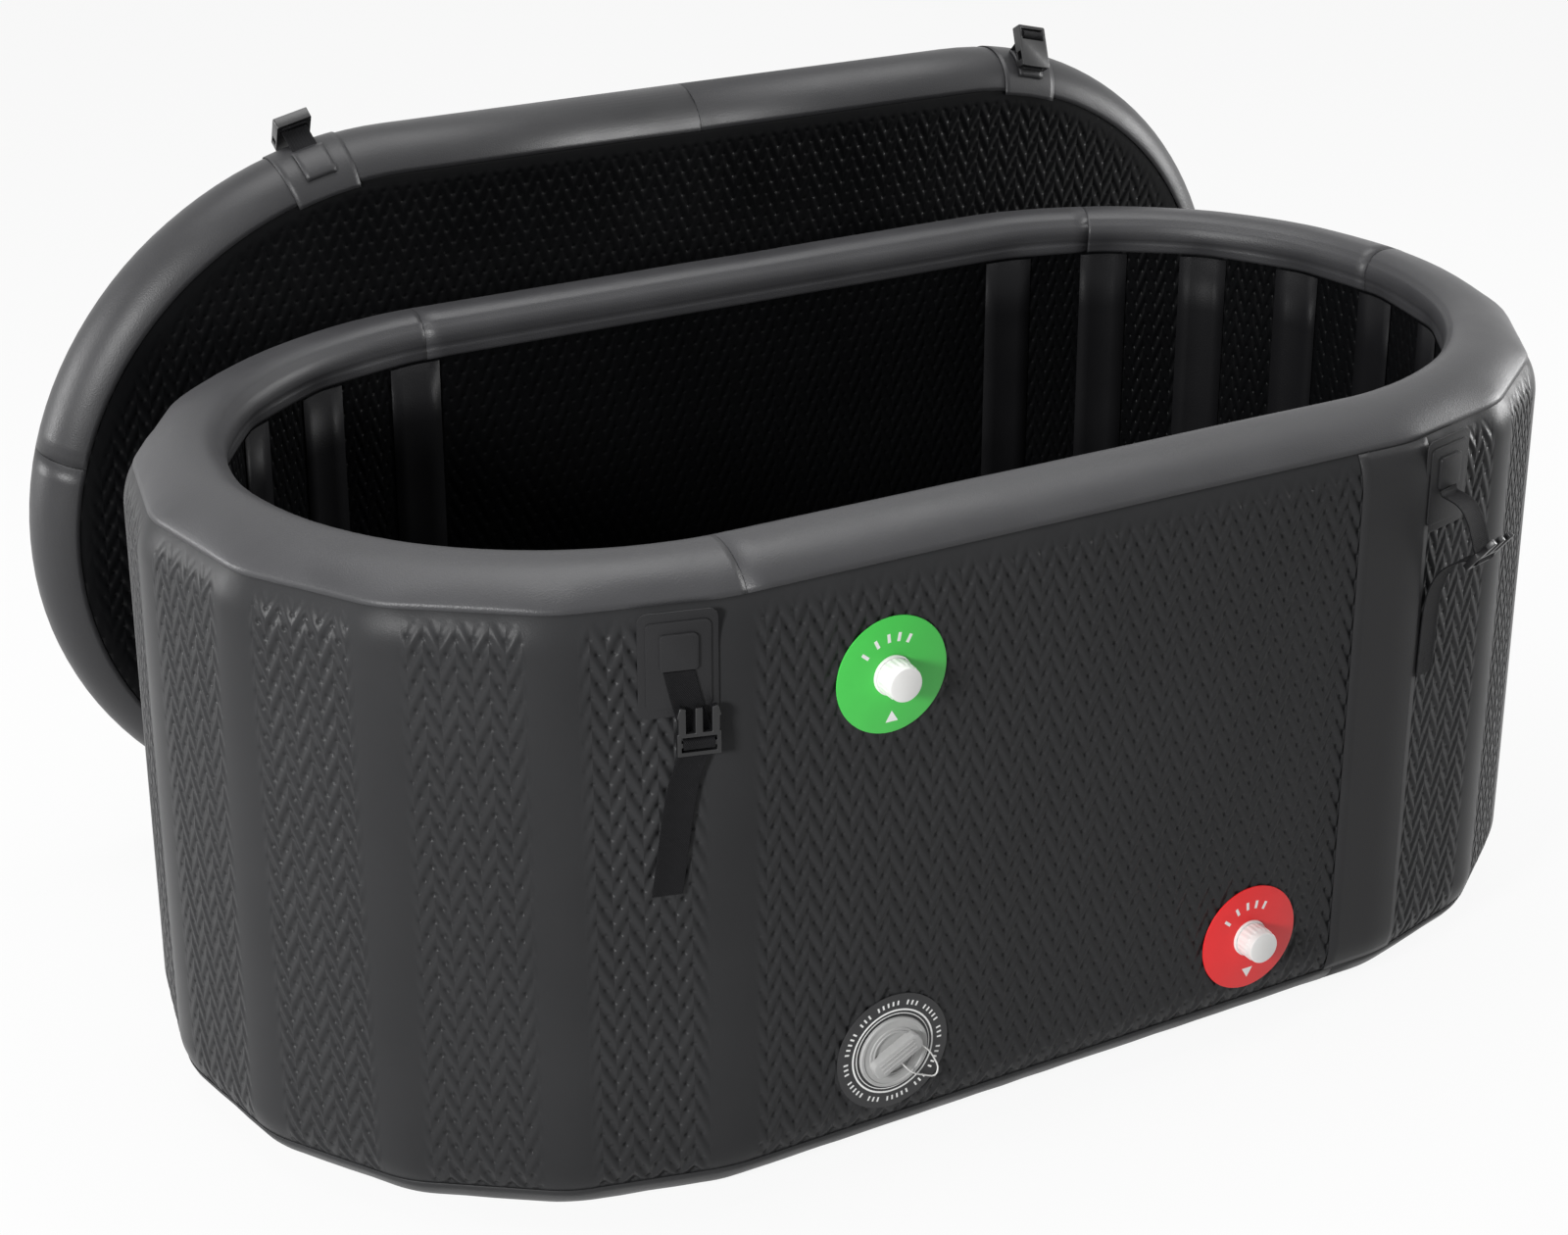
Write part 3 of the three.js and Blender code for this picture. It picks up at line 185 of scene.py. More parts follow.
def made(name, mesh, material, smooth=True):
    """Turns a shaped bmesh into an object at the origin."""
    for face in mesh.faces:
        face.smooth = smooth
    data = bpy.data.meshes.new(name)
    mesh.to_mesh(data)
    mesh.free()
    data.materials.append(material)
    piece = bpy.data.objects.new(name, data)
    scene.collection.objects.link(piece)
    return piece


def labelled(piece, node=None):
    """Hides the solid that a piece takes the place of."""
    if node:
        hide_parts(node)
    return piece


def closed_loop(mesh, ring):
    return [mesh.edges.new(pair) for pair in zip(ring, ring[1:] + ring[:1])]


def bridged(mesh, loops):
    """Joins loops of edges into a tube and closes its ends."""
    for first, second in zip(loops, loops[1:]):
        bmesh.ops.bridge_loops(mesh, edges=first + second)
    for end in (loops[0], loops[-1]):
        bmesh.ops.contextual_create(mesh, geom=end)


def cord_tube(name, path, radius, material, sides=10):
    """A round tube along a path, its ends closed."""
    mesh = bmesh.new()
    loops, side = [], None
    turns = [2 * math.pi * k / sides for k in range(sides)]
    for i, point in enumerate(path):
        way = (path[min(i + 1, len(path) - 1)] - path[max(i - 1, 0)]).normalized()
        side = way.cross(Vector((0, 1, 0))) if side is None else side - way * side.dot(way)
        side.normalize()
        over = way.cross(side)
        loops.append(closed_loop(mesh, [
            mesh.verts.new(point + (side * math.cos(t) + over * math.sin(t)) * radius) for t in turns
        ]))
    bridged(mesh, loops)
    bmesh.ops.recalc_face_normals(mesh, faces=mesh.faces[:])
    return made(name, mesh, material)


white_plastic = plastic("white_plastic", (0.74, 0.735, 0.72, 1), (0.82, 0.815, 0.80, 1), 0.35)
lanyard = cord_tube("valve_cap_lanyard", lanyard_path, LANYARD / 2, white_plastic)
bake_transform(lanyard)
labelled(lanyard, "valve_lanyard")

# Studio: a paper floor under one broad lamp, with a key lamp low at the front left that grazes the
# embossing, and an upright strip lamp at the left back and at the right. Floor and background are white
# to the camera and in reflections, and light the tub at a lower level.
FLOOR_HALF, FLOOR_GLOW, STUDIO_LIGHT = 9, 0.92, 0.10
PAPER = (0.6, 0.6, 0.6, 1)
scene.view_settings.view_transform = "Standard"
world = bpy.data.worlds.new("studio")
scene.world = world
world.use_nodes = True
world.node_tree.nodes.clear()


def white_when_seen(tree, lit, white, share, out):
    """Shows the white shader to that share where a ray from the camera, a reflection or a clear piece
    meets it, and the lit one to all other light."""
    rays = tree.nodes.new("ShaderNodeLightPath").outputs
    seen = maths(tree, "MAXIMUM", rays["Is Camera Ray"], rays["Is Glossy Ray"])
    seen = maths(tree, "MAXIMUM", seen, rays["Is Transmission Ray"])
    mix = tree.nodes.new("ShaderNodeMixShader")
    for socket, source in zip(mix.inputs, (maths(tree, "MULTIPLY", seen, share), lit, white)):
        tree.links.new(source, socket)
    tree.links.new(mix.outputs[0], out.inputs["Surface"])


lighting = world.node_tree.nodes.new("ShaderNodeBackground")
lighting.inputs["Strength"].default_value = STUDIO_LIGHT
backdrop = world.node_tree.nodes.new("ShaderNodeBackground")
backdrop.inputs["Color"].default_value = (1, 1, 1, 1)
world_out = world.node_tree.nodes.new("ShaderNodeOutputWorld")
white_when_seen(world.node_tree, lighting.outputs[0], backdrop.outputs[0], 1, world_out)

paper, paper_tree, paper_surface = shader("white_paper", 0.9, 0.1)
paper_surface.inputs["Base Color"].default_value = PAPER
paper_glow = paper_tree.nodes.new("ShaderNodeEmission").outputs[0]
white_when_seen(
    paper_tree, paper_surface.outputs[0], paper_glow, FLOOR_GLOW, paper_tree.nodes["Material Output"],
)
floor_mesh = bmesh.new()
bmesh.ops.create_grid(floor_mesh, x_segments=1, y_segments=1, size=FLOOR_HALF)
made("studio_floor", floor_mesh, paper, smooth=False)

for lamp_name, place_at, aim_at, size, power in (
    ("lamp_above", (0, 0.3, 3.2), (0, 0, 0), (3.2, 1.6), 84),
    ("lamp_front", (-3.4, -1.9, 1.7), (0.1, -0.3, 0.3), (0.7, 0.7), 156),
    ("lamp_left_back", (-2.8, 1.5, 0.9), (-0.5, 0, 0.4), (0.6, 1.2), 50),
    ("lamp_right", (3.2, -0.2, 1.0), (0.5, 0, 0.3), (0.6, 1.2), 66),
):
    lamp_data = bpy.data.lights.new(lamp_name, "AREA")
    lamp_data.shape = "RECTANGLE"
    lamp_data.size, lamp_data.size_y = size
    lamp_data.energy = power
    lamp = bpy.data.objects.new(lamp_name, lamp_data)
    lamp.location = place_at
    lamp.rotation_euler = (Vector(aim_at) - Vector(place_at)).to_track_quat("-Z", "Y").to_euler()
    scene.collection.objects.link(lamp)

# Wall panel: PVC-coated drop-stitch cloth, one long panel folded round both ends and inflated hard.
# Its face is embossed with a herringbone of short ridges, which fade out on the smooth folds.
TUB_LENGTH, TUB_WIDTH, TUB_HEIGHT = 1.420, 0.770, 0.600
WALL, EDGE_OUTER, EDGE_INNER = 0.088, 0.064, 0.022
TAPE_LAP, SKIN = 0.0015, 0.001
FOLDS, FIRST_FOLD, FOLD_HALF, FOLD_STATIONS = 9, math.radians(4), 0.020, 6
FOLD_STEP = (math.pi - 2 * FIRST_FOLD) / (FOLDS - 1)
END_RADIUS = TUB_WIDTH / 2 / math.cos(FIRST_FOLD)
FOLD_TRIM = 0.015
END_CENTRE = TUB_LENGTH / 2 - END_RADIUS + FOLD_TRIM * math.sin(FOLD_STEP / 2)
SKIN_TOP, SKIN_BOTTOM = TUB_HEIGHT - TAPE_LAP, TAPE_LAP
SEAM_X = 0.3008
RIM_DROP, RAIL_RISE = 0.029, 0.038
PANEL_COLOUR, PANEL_WORN = (0.0220, 0.0222, 0.0232, 1), (0.0300, 0.0303, 0.0316, 1)


def fold_corners():
    """The outline's corners, where the panel is folded, counter-clockwise from the front right."""
    corners = []
    for end in (1, -1):
        for k in range(FOLDS):
            angle = -end * math.pi / 2 + FIRST_FOLD + k * FOLD_STEP
            corners.append(Vector((
                end * END_CENTRE + END_RADIUS * math.cos(angle), END_RADIUS * math.sin(angle),
            )))
    return corners


def between(a, b, along):
    """The station at a distance along the outline, between two others."""
    share = (along - a[1]) / (b[1] - a[1])
    return (a[0].lerp(b[0], share), along, a[2] + (b[2] - a[2]) * share)


def tub_outline(start, finish, fold_half=FOLD_HALF, spacing=0.024):
    """Points of the tub's outline from one place to another, counter-clockwise from the panel seam,
    each with its distance along the outline and how far it lies on a fold."""
    seam = Vector((SEAM_X, -TUB_WIDTH / 2))
    corners = fold_corners()
    points = [(seam, 0.0)]
    for number, corner in enumerate(corners):
        before = corners[number - 1] if number else seam
        after = corners[number + 1] if number + 1 < len(corners) else seam
        first = corner + (before - corner).normalized() * fold_half
        last = corner + (after - corner).normalized() * fold_half
        origin = points[-1][0]
        steps = max(1, round((first - origin).length / spacing))
        points += [(origin.lerp(first, i / steps), 0.0) for i in range(1, steps)]
        for i in range(FOLD_STATIONS + 1):
            t = i / FOLD_STATIONS
            bend = first * (1 - t) ** 2 + corner * 2 * t * (1 - t) + last * t * t
            points.append((bend, 1 - abs(2 * t - 1) ** 3 * 0.75))
    origin = points[-1][0]
    steps = round((seam - origin).length / spacing)
    points += [(origin.lerp(seam, i / steps), 0.0) for i in range(1, steps + 1)]
    stations, along = [], 0.0
    for i, (point, fold) in enumerate(points):
        along += (point - points[i - 1][0]).length if i else 0
        stations.append((point, along, fold))
    whole = stations[-1][1]
    begin, end = start * whole, finish * whole
    kept = [s for s in stations if begin - 1e-6 <= s[1] <= end + 1e-6]

    def station_at(distance):
        for a, b in zip(stations, stations[1:]):
            if a[1] <= distance <= b[1]:
                return between(a, b, distance)

    if kept[0][1] > begin + 1e-4:
        kept.insert(0, station_at(begin))
    if kept[-1][1] < end - 1e-4:
        kept.append(station_at(end))
    return kept


def share_at(x, y):
    """How far along the outline, from 0 to 1, the point nearest to x and y lies."""
    stations = tub_outline(0, 1, spacing=0.002)
    near = min(stations, key=lambda s: (s[0] - Vector((x, y))).length)
    return near[1] / stations[-1][1]


def on_wall(point, row, offset=0.0, straight=END_CENTRE, radius=END_RADIUS):
    """A point on the wall's section under one point of an outline with two round ends."""
    centre = max(-straight, min(straight, point.x))
    depth = row["depth"] + row["lean"] * offset
    arm = Vector((point.x - centre, point.y)) * (1 - depth / radius)
    return Vector((centre + arm.x, arm.y, row["z"] + row["rise"] * offset))


def arc_rows(depth, z, radius, start, finish, step=math.radians(7.5)):
    """Rows of a section along an arc: how deep in the wall, how high, and which way is out."""
    count = max(1, math.ceil(abs(finish - start) / step))
    rows = []
    for i in range(count + 1):
        angle = start + (finish - start) * i / count
        lean, rise = math.cos(angle), math.sin(angle)
        rows.append({
            "depth": depth + radius * lean, "z": z + radius * rise, "lean": lean, "rise": rise,
        })
    return rows


def straight_rows(depth, low, high, lean, count=12):
    """Upright rows of a section between two heights, without the rows at its two ends."""
    return [
        {"depth": depth, "z": low + (high - low) * i / count, "lean": lean, "rise": 0.0}
        for i in range(1, count)
    ]


RIM_ANGLE = math.pi - math.asin(1 - (RIM_DROP - TAPE_LAP) / EDGE_OUTER)
RAIL_ANGLE = math.pi + math.asin(1 - (RAIL_RISE - TAPE_LAP) / EDGE_OUTER)
LOW_Z, HIGH_Z = SKIN_BOTTOM + EDGE_OUTER, SKIN_TOP - EDGE_OUTER


def heights_along(rows):
    """How far up the section each of its rows lies."""
    up = [0.0]
    for a, b in zip(rows, rows[1:]):
        up.append(up[-1] + math.hypot(b["depth"] - a["depth"], b["z"] - a["z"]))
    return up


def thickened(piece, thickness, rim_only):
    """Gives a sheet its thickness, inwards from its face."""
    thick = piece.modifiers.new("thickness", "SOLIDIFY")
    thick.thickness = thickness
    thick.offset = -1
    thick.use_rim_only = rim_only


def laid_flat(mesh, spot):
    """Gives each corner of a mesh its place on the flat cloth."""
    cloth = mesh.loops.layers.uv.new("cloth")
    for face in mesh.faces:
        for loop in face.loops:
            loop[cloth].uv = spot(loop.vert)


def swept_sheet(
    name, stations, rows, offset, thickness, material, node=None,
    body="tub", place=on_wall, smoothness=None, rim_only=False,
):
    """A sheet made by drawing one section of the wall along the outline, edge by edge.
    offset gives each point's height over the wall's skin, and smoothness how flat its embossing is."""
    mesh = bmesh.new()
    row_of = mesh.verts.layers.int.new("row")
    along_of = mesh.verts.layers.float.new("along")
    up_of = mesh.verts.layers.float.new("up")
    fold_of = mesh.verts.layers.float.new("fold")
    up = heights_along(rows)

    def settle(vert, station):
        number = vert[row_of]
        point, along, fold = station
        vert.co = place(point, rows[number], offset(along, number, fold))
        vert[along_of], vert[up_of] = along, up[number]
        vert[fold_of] = smoothness(along, number) if smoothness else fold

    chain = []
    for number in range(len(rows)):
        vert = mesh.verts.new()
        vert[row_of] = number
        settle(vert, stations[0])
        chain.append(vert)
    edges = [mesh.edges.new(pair) for pair in zip(chain, chain[1:])]
    for station in stations[1:]:
        drawn = bmesh.ops.extrude_edge_only(mesh, edges=edges)["geom"]
        fresh = {g for g in drawn if isinstance(g, bmesh.types.BMVert)}
        for vert in fresh:
            settle(vert, station)
        edges = [g for g in drawn if isinstance(g, bmesh.types.BMEdge) and fresh.issuperset(g.verts)]
    mesh.normal_update()
    sample = mesh.faces[:][len(mesh.faces) // 2]
    row = rows[sample.verts[0][row_of]]
    point = min(stations, key=lambda s: abs(s[1] - sample.verts[0][along_of]))[0]
    outward = place(point, row, 0.01) - place(point, row, 0)
    if sample.normal.dot(outward) < 0:
        bmesh.ops.reverse_faces(mesh, faces=mesh.faces[:])
    laid_flat(mesh, lambda vert: (vert[along_of], vert[up_of]))
    piece = made(name, mesh, material)
    thickened(piece, thickness, rim_only)
    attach(piece, body)
    return labelled(piece, node)


def wander(along, up, seed, size):
    """A smooth random height, with along and up counted in waves."""
    return noise.noise(Vector((along, up, seed))) * size


wall_points = tub_outline(0, 1)
wall_length = wall_points[-1][1]
ROW, PAIR_OF_COLUMNS, PIT = 0.0255, 0.0265, 0.0015
column_pairs = round(wall_length / PAIR_OF_COLUMNS)
COLUMN = wall_length / column_pairs / 2
CLOTH_CLOUD, CLOTH_GLOSS, CLOTH_GRAIN, GRAIN_SHARE = 9, (0.30, 0.39), 900, 0.08


def embossed_cloth(name, dark, pale, height, specular):
    """Coated cloth with a herringbone of ridges that climb one column and fall the next, and a pit
    at each stitch in the furrows between them."""
    material, tree, surface = shader(name, specular=specular)
    place, cloud = mottled_colour(tree, surface, dark, pale, CLOTH_CLOUD)
    uneven_gloss(tree, surface, cloud, *CLOTH_GLOSS)
    do = partial(maths, tree)
    split = tree.nodes.new("ShaderNodeSeparateXYZ")
    tree.links.new(place["UV"], split.inputs[0])
    across = do("DIVIDE", split.outputs["X"], 2 * COLUMN)
    row = do("DIVIDE", split.outputs["Y"], ROW)

    def zigzag(value):
        return do("ABSOLUTE", do("SUBTRACT", do("MULTIPLY", do("FRACT", value), 2), 1))

    wave = do("COSINE", do("MULTIPLY", do("SUBTRACT", row, zigzag(across)), 2 * math.pi))
    ridge = do("ADD", do("MULTIPLY", wave, 0.5), 0.5)
    stitch = do("DIVIDE", do("ROUND", do("MULTIPLY", across, 4)), 4)
    aside = do("MULTIPLY", do("SUBTRACT", across, stitch), 2 * COLUMN / PIT)
    stitch_row = do("FRACT", do("SUBTRACT", row, zigzag(stitch)))
    above = do("MULTIPLY", do("SUBTRACT", stitch_row, 0.5), ROW / PIT)
    far = do("ADD", do("POWER", aside, 2), do("POWER", above, 2))
    pit = do("EXPONENT", do("MULTIPLY", far, -0.5))
    folds = tree.nodes.new("ShaderNodeAttribute")
    folds.attribute_name = "fold"
    shape = do("MULTIPLY", do("SUBTRACT", ridge, pit), do("SUBTRACT", 1, folds.outputs["Fac"]))
    grain = textured(tree, "Noise", place, CLOTH_GRAIN).outputs["Fac"]
    relief(tree, surface, do("ADD", shape, do("MULTIPLY", grain, GRAIN_SHARE)), height)
    return material


PANEL_RELIEF, PANEL_SHEEN = 0.0014, 0.08
panel_cloth = embossed_cloth("embossed_cloth", PANEL_COLOUR, PANEL_WORN, PANEL_RELIEF, PANEL_SHEEN)
EMBOSS_STEP, WALL_ROWS, UNDER_TAPE = math.radians(4.5), 94, 0.12
wall_rows = (
    arc_rows(EDGE_OUTER, LOW_Z, EDGE_OUTER, RAIL_ANGLE + UNDER_TAPE, math.pi, EMBOSS_STEP)
    + straight_rows(0, LOW_Z, HIGH_Z, -1, WALL_ROWS)
    + arc_rows(EDGE_OUTER, HIGH_Z, EDGE_OUTER, math.pi, RIM_ANGLE - UNDER_TAPE, EMBOSS_STEP)
)
wall_up = heights_along(wall_rows)
EMBOSS_DEPTH, RIDGE_TOP, LOWEST = 0.0010, 0.0002, -0.0009
SMOOTH_BELOW_RIM, SMOOTH_ABOVE_RAIL = 0.038, 0.014
SMOOTH_FOLD, EMBOSS_FADE = 0.019, 0.012
WALL_PUCKER, PUCKER_REACH, PUCKER_FADE = 0.0010, 0.11, (0.004, 0.02)
FACET_BULGE, LONGEST_FACET = 0.0022, 0.3
fold_places = [share_at(*corner) * wall_length for corner in fold_corners()]
strap_facets = ((fold_places[0], fold_places[1]), (fold_places[-2], fold_places[-1]))


def ramp(value, low, high):
    """An eased step from 0 at the low value to 1 at the high one."""
    share = max(0.0, min(1.0, (value - low) / (high - low)))
    return share * share * (3 - 2 * share)


def embossing(along, up):
    """The herringbone's height at a place on the wall, from 0 in a furrow to 1 on a ridge."""
    zigzag = abs(2 * (along / (2 * COLUMN) % 1) - 1)
    return 0.5 + 0.5 * math.cos(2 * math.pi * (up / ROW - zigzag))


def bulge(along, up):
    """How far the pressed air swells an end facet out between its two folds."""
    for first, last in zip(fold_places, fold_places[1:]):
        if first < along < last < first + LONGEST_FACET and (first, last) not in strap_facets:
            across = math.sin(math.pi * (along - first) / (last - first))
            return FACET_BULGE * across * across * math.sin(math.pi * up / wall_up[-1])
    return 0.0


def wall_smoothness(along, number):
    """How far the embossing is pressed flat at a place: on the folds, under the rim and at the bottom."""
    below_rim, above_rail = wall_up[-1] - wall_up[number], wall_up[number]
    from_fold = min(abs(along - place) for place in fold_places)
    shown = ramp(from_fold, SMOOTH_FOLD, SMOOTH_FOLD + EMBOSS_FADE)
    shown *= ramp(below_rim, SMOOTH_BELOW_RIM / 3, SMOOTH_BELOW_RIM)
    shown *= ramp(above_rail, SMOOTH_ABOVE_RAIL - EMBOSS_FADE, SMOOTH_ABOVE_RAIL)
    return 1 - shown


def wall_height(along, number, fold):
    """The wall's surface: embossed and swollen facets, smooth folds, and puckers at the tapes."""
    up = wall_up[number]
    shown = 1 - wall_smoothness(along, number)
    height = (RIDGE_TOP - EMBOSS_DEPTH * (1 - embossing(along, up))) * shown
    edge = min(up, wall_up[-1] - up)
    gathered = max(0.0, 1 - edge / PUCKER_REACH) ** 2 * ramp(edge, *PUCKER_FADE)
    pucker = wander(along * 42, up * 6, 2.0, WALL_PUCKER) * gathered
    return max(LOWEST, height + pucker) + bulge(along, up)


columns = column_pairs * 8


def evenly(first, last):
    """Stations of the wall at even distances, so that each ridge turns at a station."""
    stations, segment = [], 0
    for i in range(first, last + 1):
        along = wall_length * i / columns
        while segment < len(wall_points) - 2 and wall_points[segment + 1][1] < along:
            segment += 1
        stations.append(between(*wall_points[segment:segment + 2], along))
    return stations


for wall_name, first, last in (
    ("outer_wall_right", 0, columns // 2), ("outer_wall_left", columns // 2, columns),
):
    swept_sheet(
        wall_name, evenly(first, last), wall_rows, wall_height, SKIN, panel_cloth,
        "wall_outer_skin", smoothness=wall_smoothness, rim_only=True,
    )

# Inner wall: the same coated cloth on the inside of the wall, held to the outer skin by the yarn.
# It runs from under the rim tape to the floor seam. Its colour is painted far darker than the outer wall's,
# as painted shade for the little light that gets in.
# Painted shade: two near-black shades of the same cloth, also used for the lid's faces.
SHADE_PAINTED_DARK, SHADE_PAINTED_PALE = (0.0025, 0.0026, 0.0029, 1), (0.0040, 0.0041, 0.0045, 1)
INNER_RELIEF, INNER_SHEEN = 0.0008, 0.05
INNER_TOP, INNER_BEND, INNER_ROWS = 0.569, SKIN_BOTTOM + EDGE_INNER, 84
INNER_DEPTH, INNER_FADE, INNER_SWELL = 0.0008, 0.03, 0.0004
inner_rows = (
    straight_rows(WALL, INNER_TOP, INNER_BEND, 1, INNER_ROWS)
    + arc_rows(WALL - EDGE_INNER, INNER_BEND, EDGE_INNER, 0, math.radians(-80), math.radians(10))
)


def inner_swell(along, number, fold):
    """The inner wall's surface: embossed like the outer, and a little uneven."""
    z = inner_rows[number]["z"]
    shown = ramp(z, SKIN_BOTTOM, LOW_Z) * ramp(INNER_TOP - z, 0, INNER_FADE) * (1 - fold)
    swell = wander(along * 8, z * 5, 7.0, INNER_SWELL)
    return swell - INNER_DEPTH * (1 - embossing(along, z)) * shown


inner_cloth = embossed_cloth("inner_embossed_cloth", SHADE_PAINTED_DARK, SHADE_PAINTED_PALE, INNER_RELIEF, INNER_SHEEN)
swept_sheet(
    "inner_wall", evenly(0, columns)[::2], inner_rows, inner_swell, SKIN, inner_cloth,
    "wall_inner_skin", rim_only=True,
)

# Drop-stitch yarn: thousands of threads that hold the two skins apart, hidden inside the wall and lid.
# Each core is one solid of the CAD model and keeps its shape.
YARN_DARK, YARN_PALE, YARN_CLOUD, YARN_RELIEF = (0.42, 0.42, 0.40, 1), (0.56, 0.56, 0.53, 1), 60, 0.001
yarn, yarn_tree, yarn_surface = shader("drop_stitch_yarn", 0.9, 0.2)
yarn_cloud = mottled_colour(yarn_tree, yarn_surface, YARN_DARK, YARN_PALE, YARN_CLOUD)[1]
relief(yarn_tree, yarn_surface, yarn_cloud, YARN_RELIEF)
for core in ("wall_drop_stitch_core", "lid_drop_stitch_core"):
    nodes[core].data.materials.clear()
    nodes[core].data.materials.append(yarn)

# Rim tape: a broad band of smooth PVC glued over the wall's top edge in four butted lengths.
# On the inside it ends in two narrow bands, each welded over the one before.
RIM_DARK, RIM_PALE = (0.0310, 0.0310, 0.0332, 1), (0.0430, 0.0430, 0.0456, 1)
RIM_INNER_DROP, WELD_GROOVE, EDGE_DIP = 0.045, 0.0009, 0.0004
RIM_SEAM_X, RIM_SEAM_PAST_FOLD = 0.3368, 0.024
RIM_WANDER, RIM_GATHER = 0.0007, 0.0010
ROUND_LIFT, ROUND_LEAN = 0.0002, 0.42
SEAM_GAP, TAPE_SHEET = 0.0006, 0.0011
TAPE_CLOUD, TAPE_GLOSS, TAPE_GRAIN, TAPE_RELIEF = 14, (0.38, 0.48), 700, 0.00012


def smooth_cloth(name, dark, pale, specular=0.32):
    """Unembossed PVC coating with a fine leathery grain."""
    material, tree, surface = shader(name, specular=specular)
    place, cloud = mottled_colour(tree, surface, dark, pale, TAPE_CLOUD)
    uneven_gloss(tree, surface, cloud, *TAPE_GLOSS)
    grain = textured(tree, "Voronoi", place, TAPE_GRAIN)
    relief(tree, surface, grain.outputs["Distance"], TAPE_RELIEF)
    return material


rim_cloth = smooth_cloth("smooth_rim_cloth", RIM_DARK, RIM_PALE)
rim_rows = (
    arc_rows(EDGE_OUTER, HIGH_Z, EDGE_OUTER, RIM_ANGLE, math.pi / 2, math.radians(5))
    + arc_rows(WALL - EDGE_INNER, SKIN_TOP - EDGE_INNER, EDGE_INNER, math.pi / 2, 0)
    + straight_rows(WALL, SKIN_TOP - EDGE_INNER, TUB_HEIGHT - RIM_INNER_DROP, 1, 9)
)
for number, row in enumerate(rim_rows):
    row["round"] = ramp(number, 0, 6) * ramp(len(rim_rows) - 1 - number, 0, 8)
rim_last = len(rim_rows) - 1
weld_lines = (rim_last - 13, rim_last - 5)
FACET_RADIUS = END_RADIUS * math.cos(FOLD_STEP / 2)
ROUND_RADIUS = FACET_RADIUS + ROUND_LIFT


def on_rim(point, row, offset=0.0):
    """A point on the rim, whose ends are drawn to a round where the wall below is folded."""
    centre = max(-END_CENTRE, min(END_CENTRE, point.x))
    arm = Vector((point.x - centre, point.y))
    lean = abs(arm.x) / arm.length
    reach = TUB_WIDTH / 2 + (ROUND_RADIUS - TUB_WIDTH / 2) * ramp(lean, 0, ROUND_LEAN)
    rounded = Vector((centre, 0)) + arm.normalized() * reach
    return on_wall(point.lerp(rounded, row["round"]), row, offset)


def rim_height(along, number, fold):
    """The rim's surface: a gathered outer edge and two sunk weld lines on the inside."""
    height = TAPE_LAP
    if number in weld_lines:
        height -= WELD_GROOVE
    slow = wander(along * 9, number * 0.12, 11.0, RIM_WANDER)
    gathered = wander(along * 38, number * 0.2, 15.0, RIM_GATHER) * max(0.0, 1 - number / 5)
    return height + (slow + gathered if 0 < number < rim_last else -EDGE_DIP)


def past_fold(number):
    """The place of a rim seam, a little past one of the folds."""
    corner, after = fold_corners()[number:number + 2]
    return share_at(*(corner + (after - corner).normalized() * RIM_SEAM_PAST_FOLD))


rim_front, rim_back = share_at(-RIM_SEAM_X, -TUB_WIDTH / 2), share_at(-RIM_SEAM_X, TUB_WIDTH / 2)
rim_tip, rim_shoulder = past_fold(4), past_fold(7)
OUTLINE_ABOUT = 3.6
gap = SEAM_GAP / OUTLINE_ABOUT
front_path = tub_outline(rim_front + gap, 1)
front_path += [(p, along + wall_length, fold) for p, along, fold in tub_outline(0, rim_tip)[1:]]
for rim_name, path in (
    ("rim_tape_right", tub_outline(rim_tip + gap, rim_shoulder)),
    ("rim_tape_back", tub_outline(rim_shoulder + gap, rim_back)),
    ("rim_tape_left", tub_outline(rim_back + gap, rim_front)),
    ("rim_tape_front", front_path),
):
    swept_sheet(
        f"{rim_name}_band", path, rim_rows, rim_height, TAPE_SHEET, rim_cloth, rim_name,
        place=on_rim,
    )

# Bottom tape: a smooth band welded over the wall's bottom edge, which the tub stands on.
# It comes in two lengths, butted at the front right and the back left.
rail_rows = (
    [{"depth": WALL - EDGE_INNER, "z": SKIN_BOTTOM, "lean": 0.0, "rise": -1.0}]
    + arc_rows(EDGE_OUTER, LOW_Z, EDGE_OUTER, math.radians(270), RAIL_ANGLE)
)
RAIL_WAVES, RAIL_STANDS = 0.0007, 5
rail_cloth = smooth_cloth("smooth_bottom_cloth", PANEL_COLOUR, PANEL_WORN, 0.18)


def rail_height(along, number, fold):
    """The bottom tape's surface: flat where the tub stands, then wavy up to its edge."""
    if number == len(rail_rows) - 1:
        return TAPE_LAP - EDGE_DIP
    return TAPE_LAP + (wander(along * 30, number * 0.2, 21.0, RAIL_WAVES) if number > RAIL_STANDS else 0)


rail_back = share_at(-SEAM_X, TUB_WIDTH / 2)
for rail_name, start, finish in (
    ("bottom_tape_right", 0, rail_back), ("bottom_tape_left", rail_back + gap, 1 - gap),
):
    swept_sheet(
        f"{rail_name}_band", tub_outline(start, finish), rail_rows, rail_height, TAPE_SHEET, rail_cloth,
        rail_name,
    )

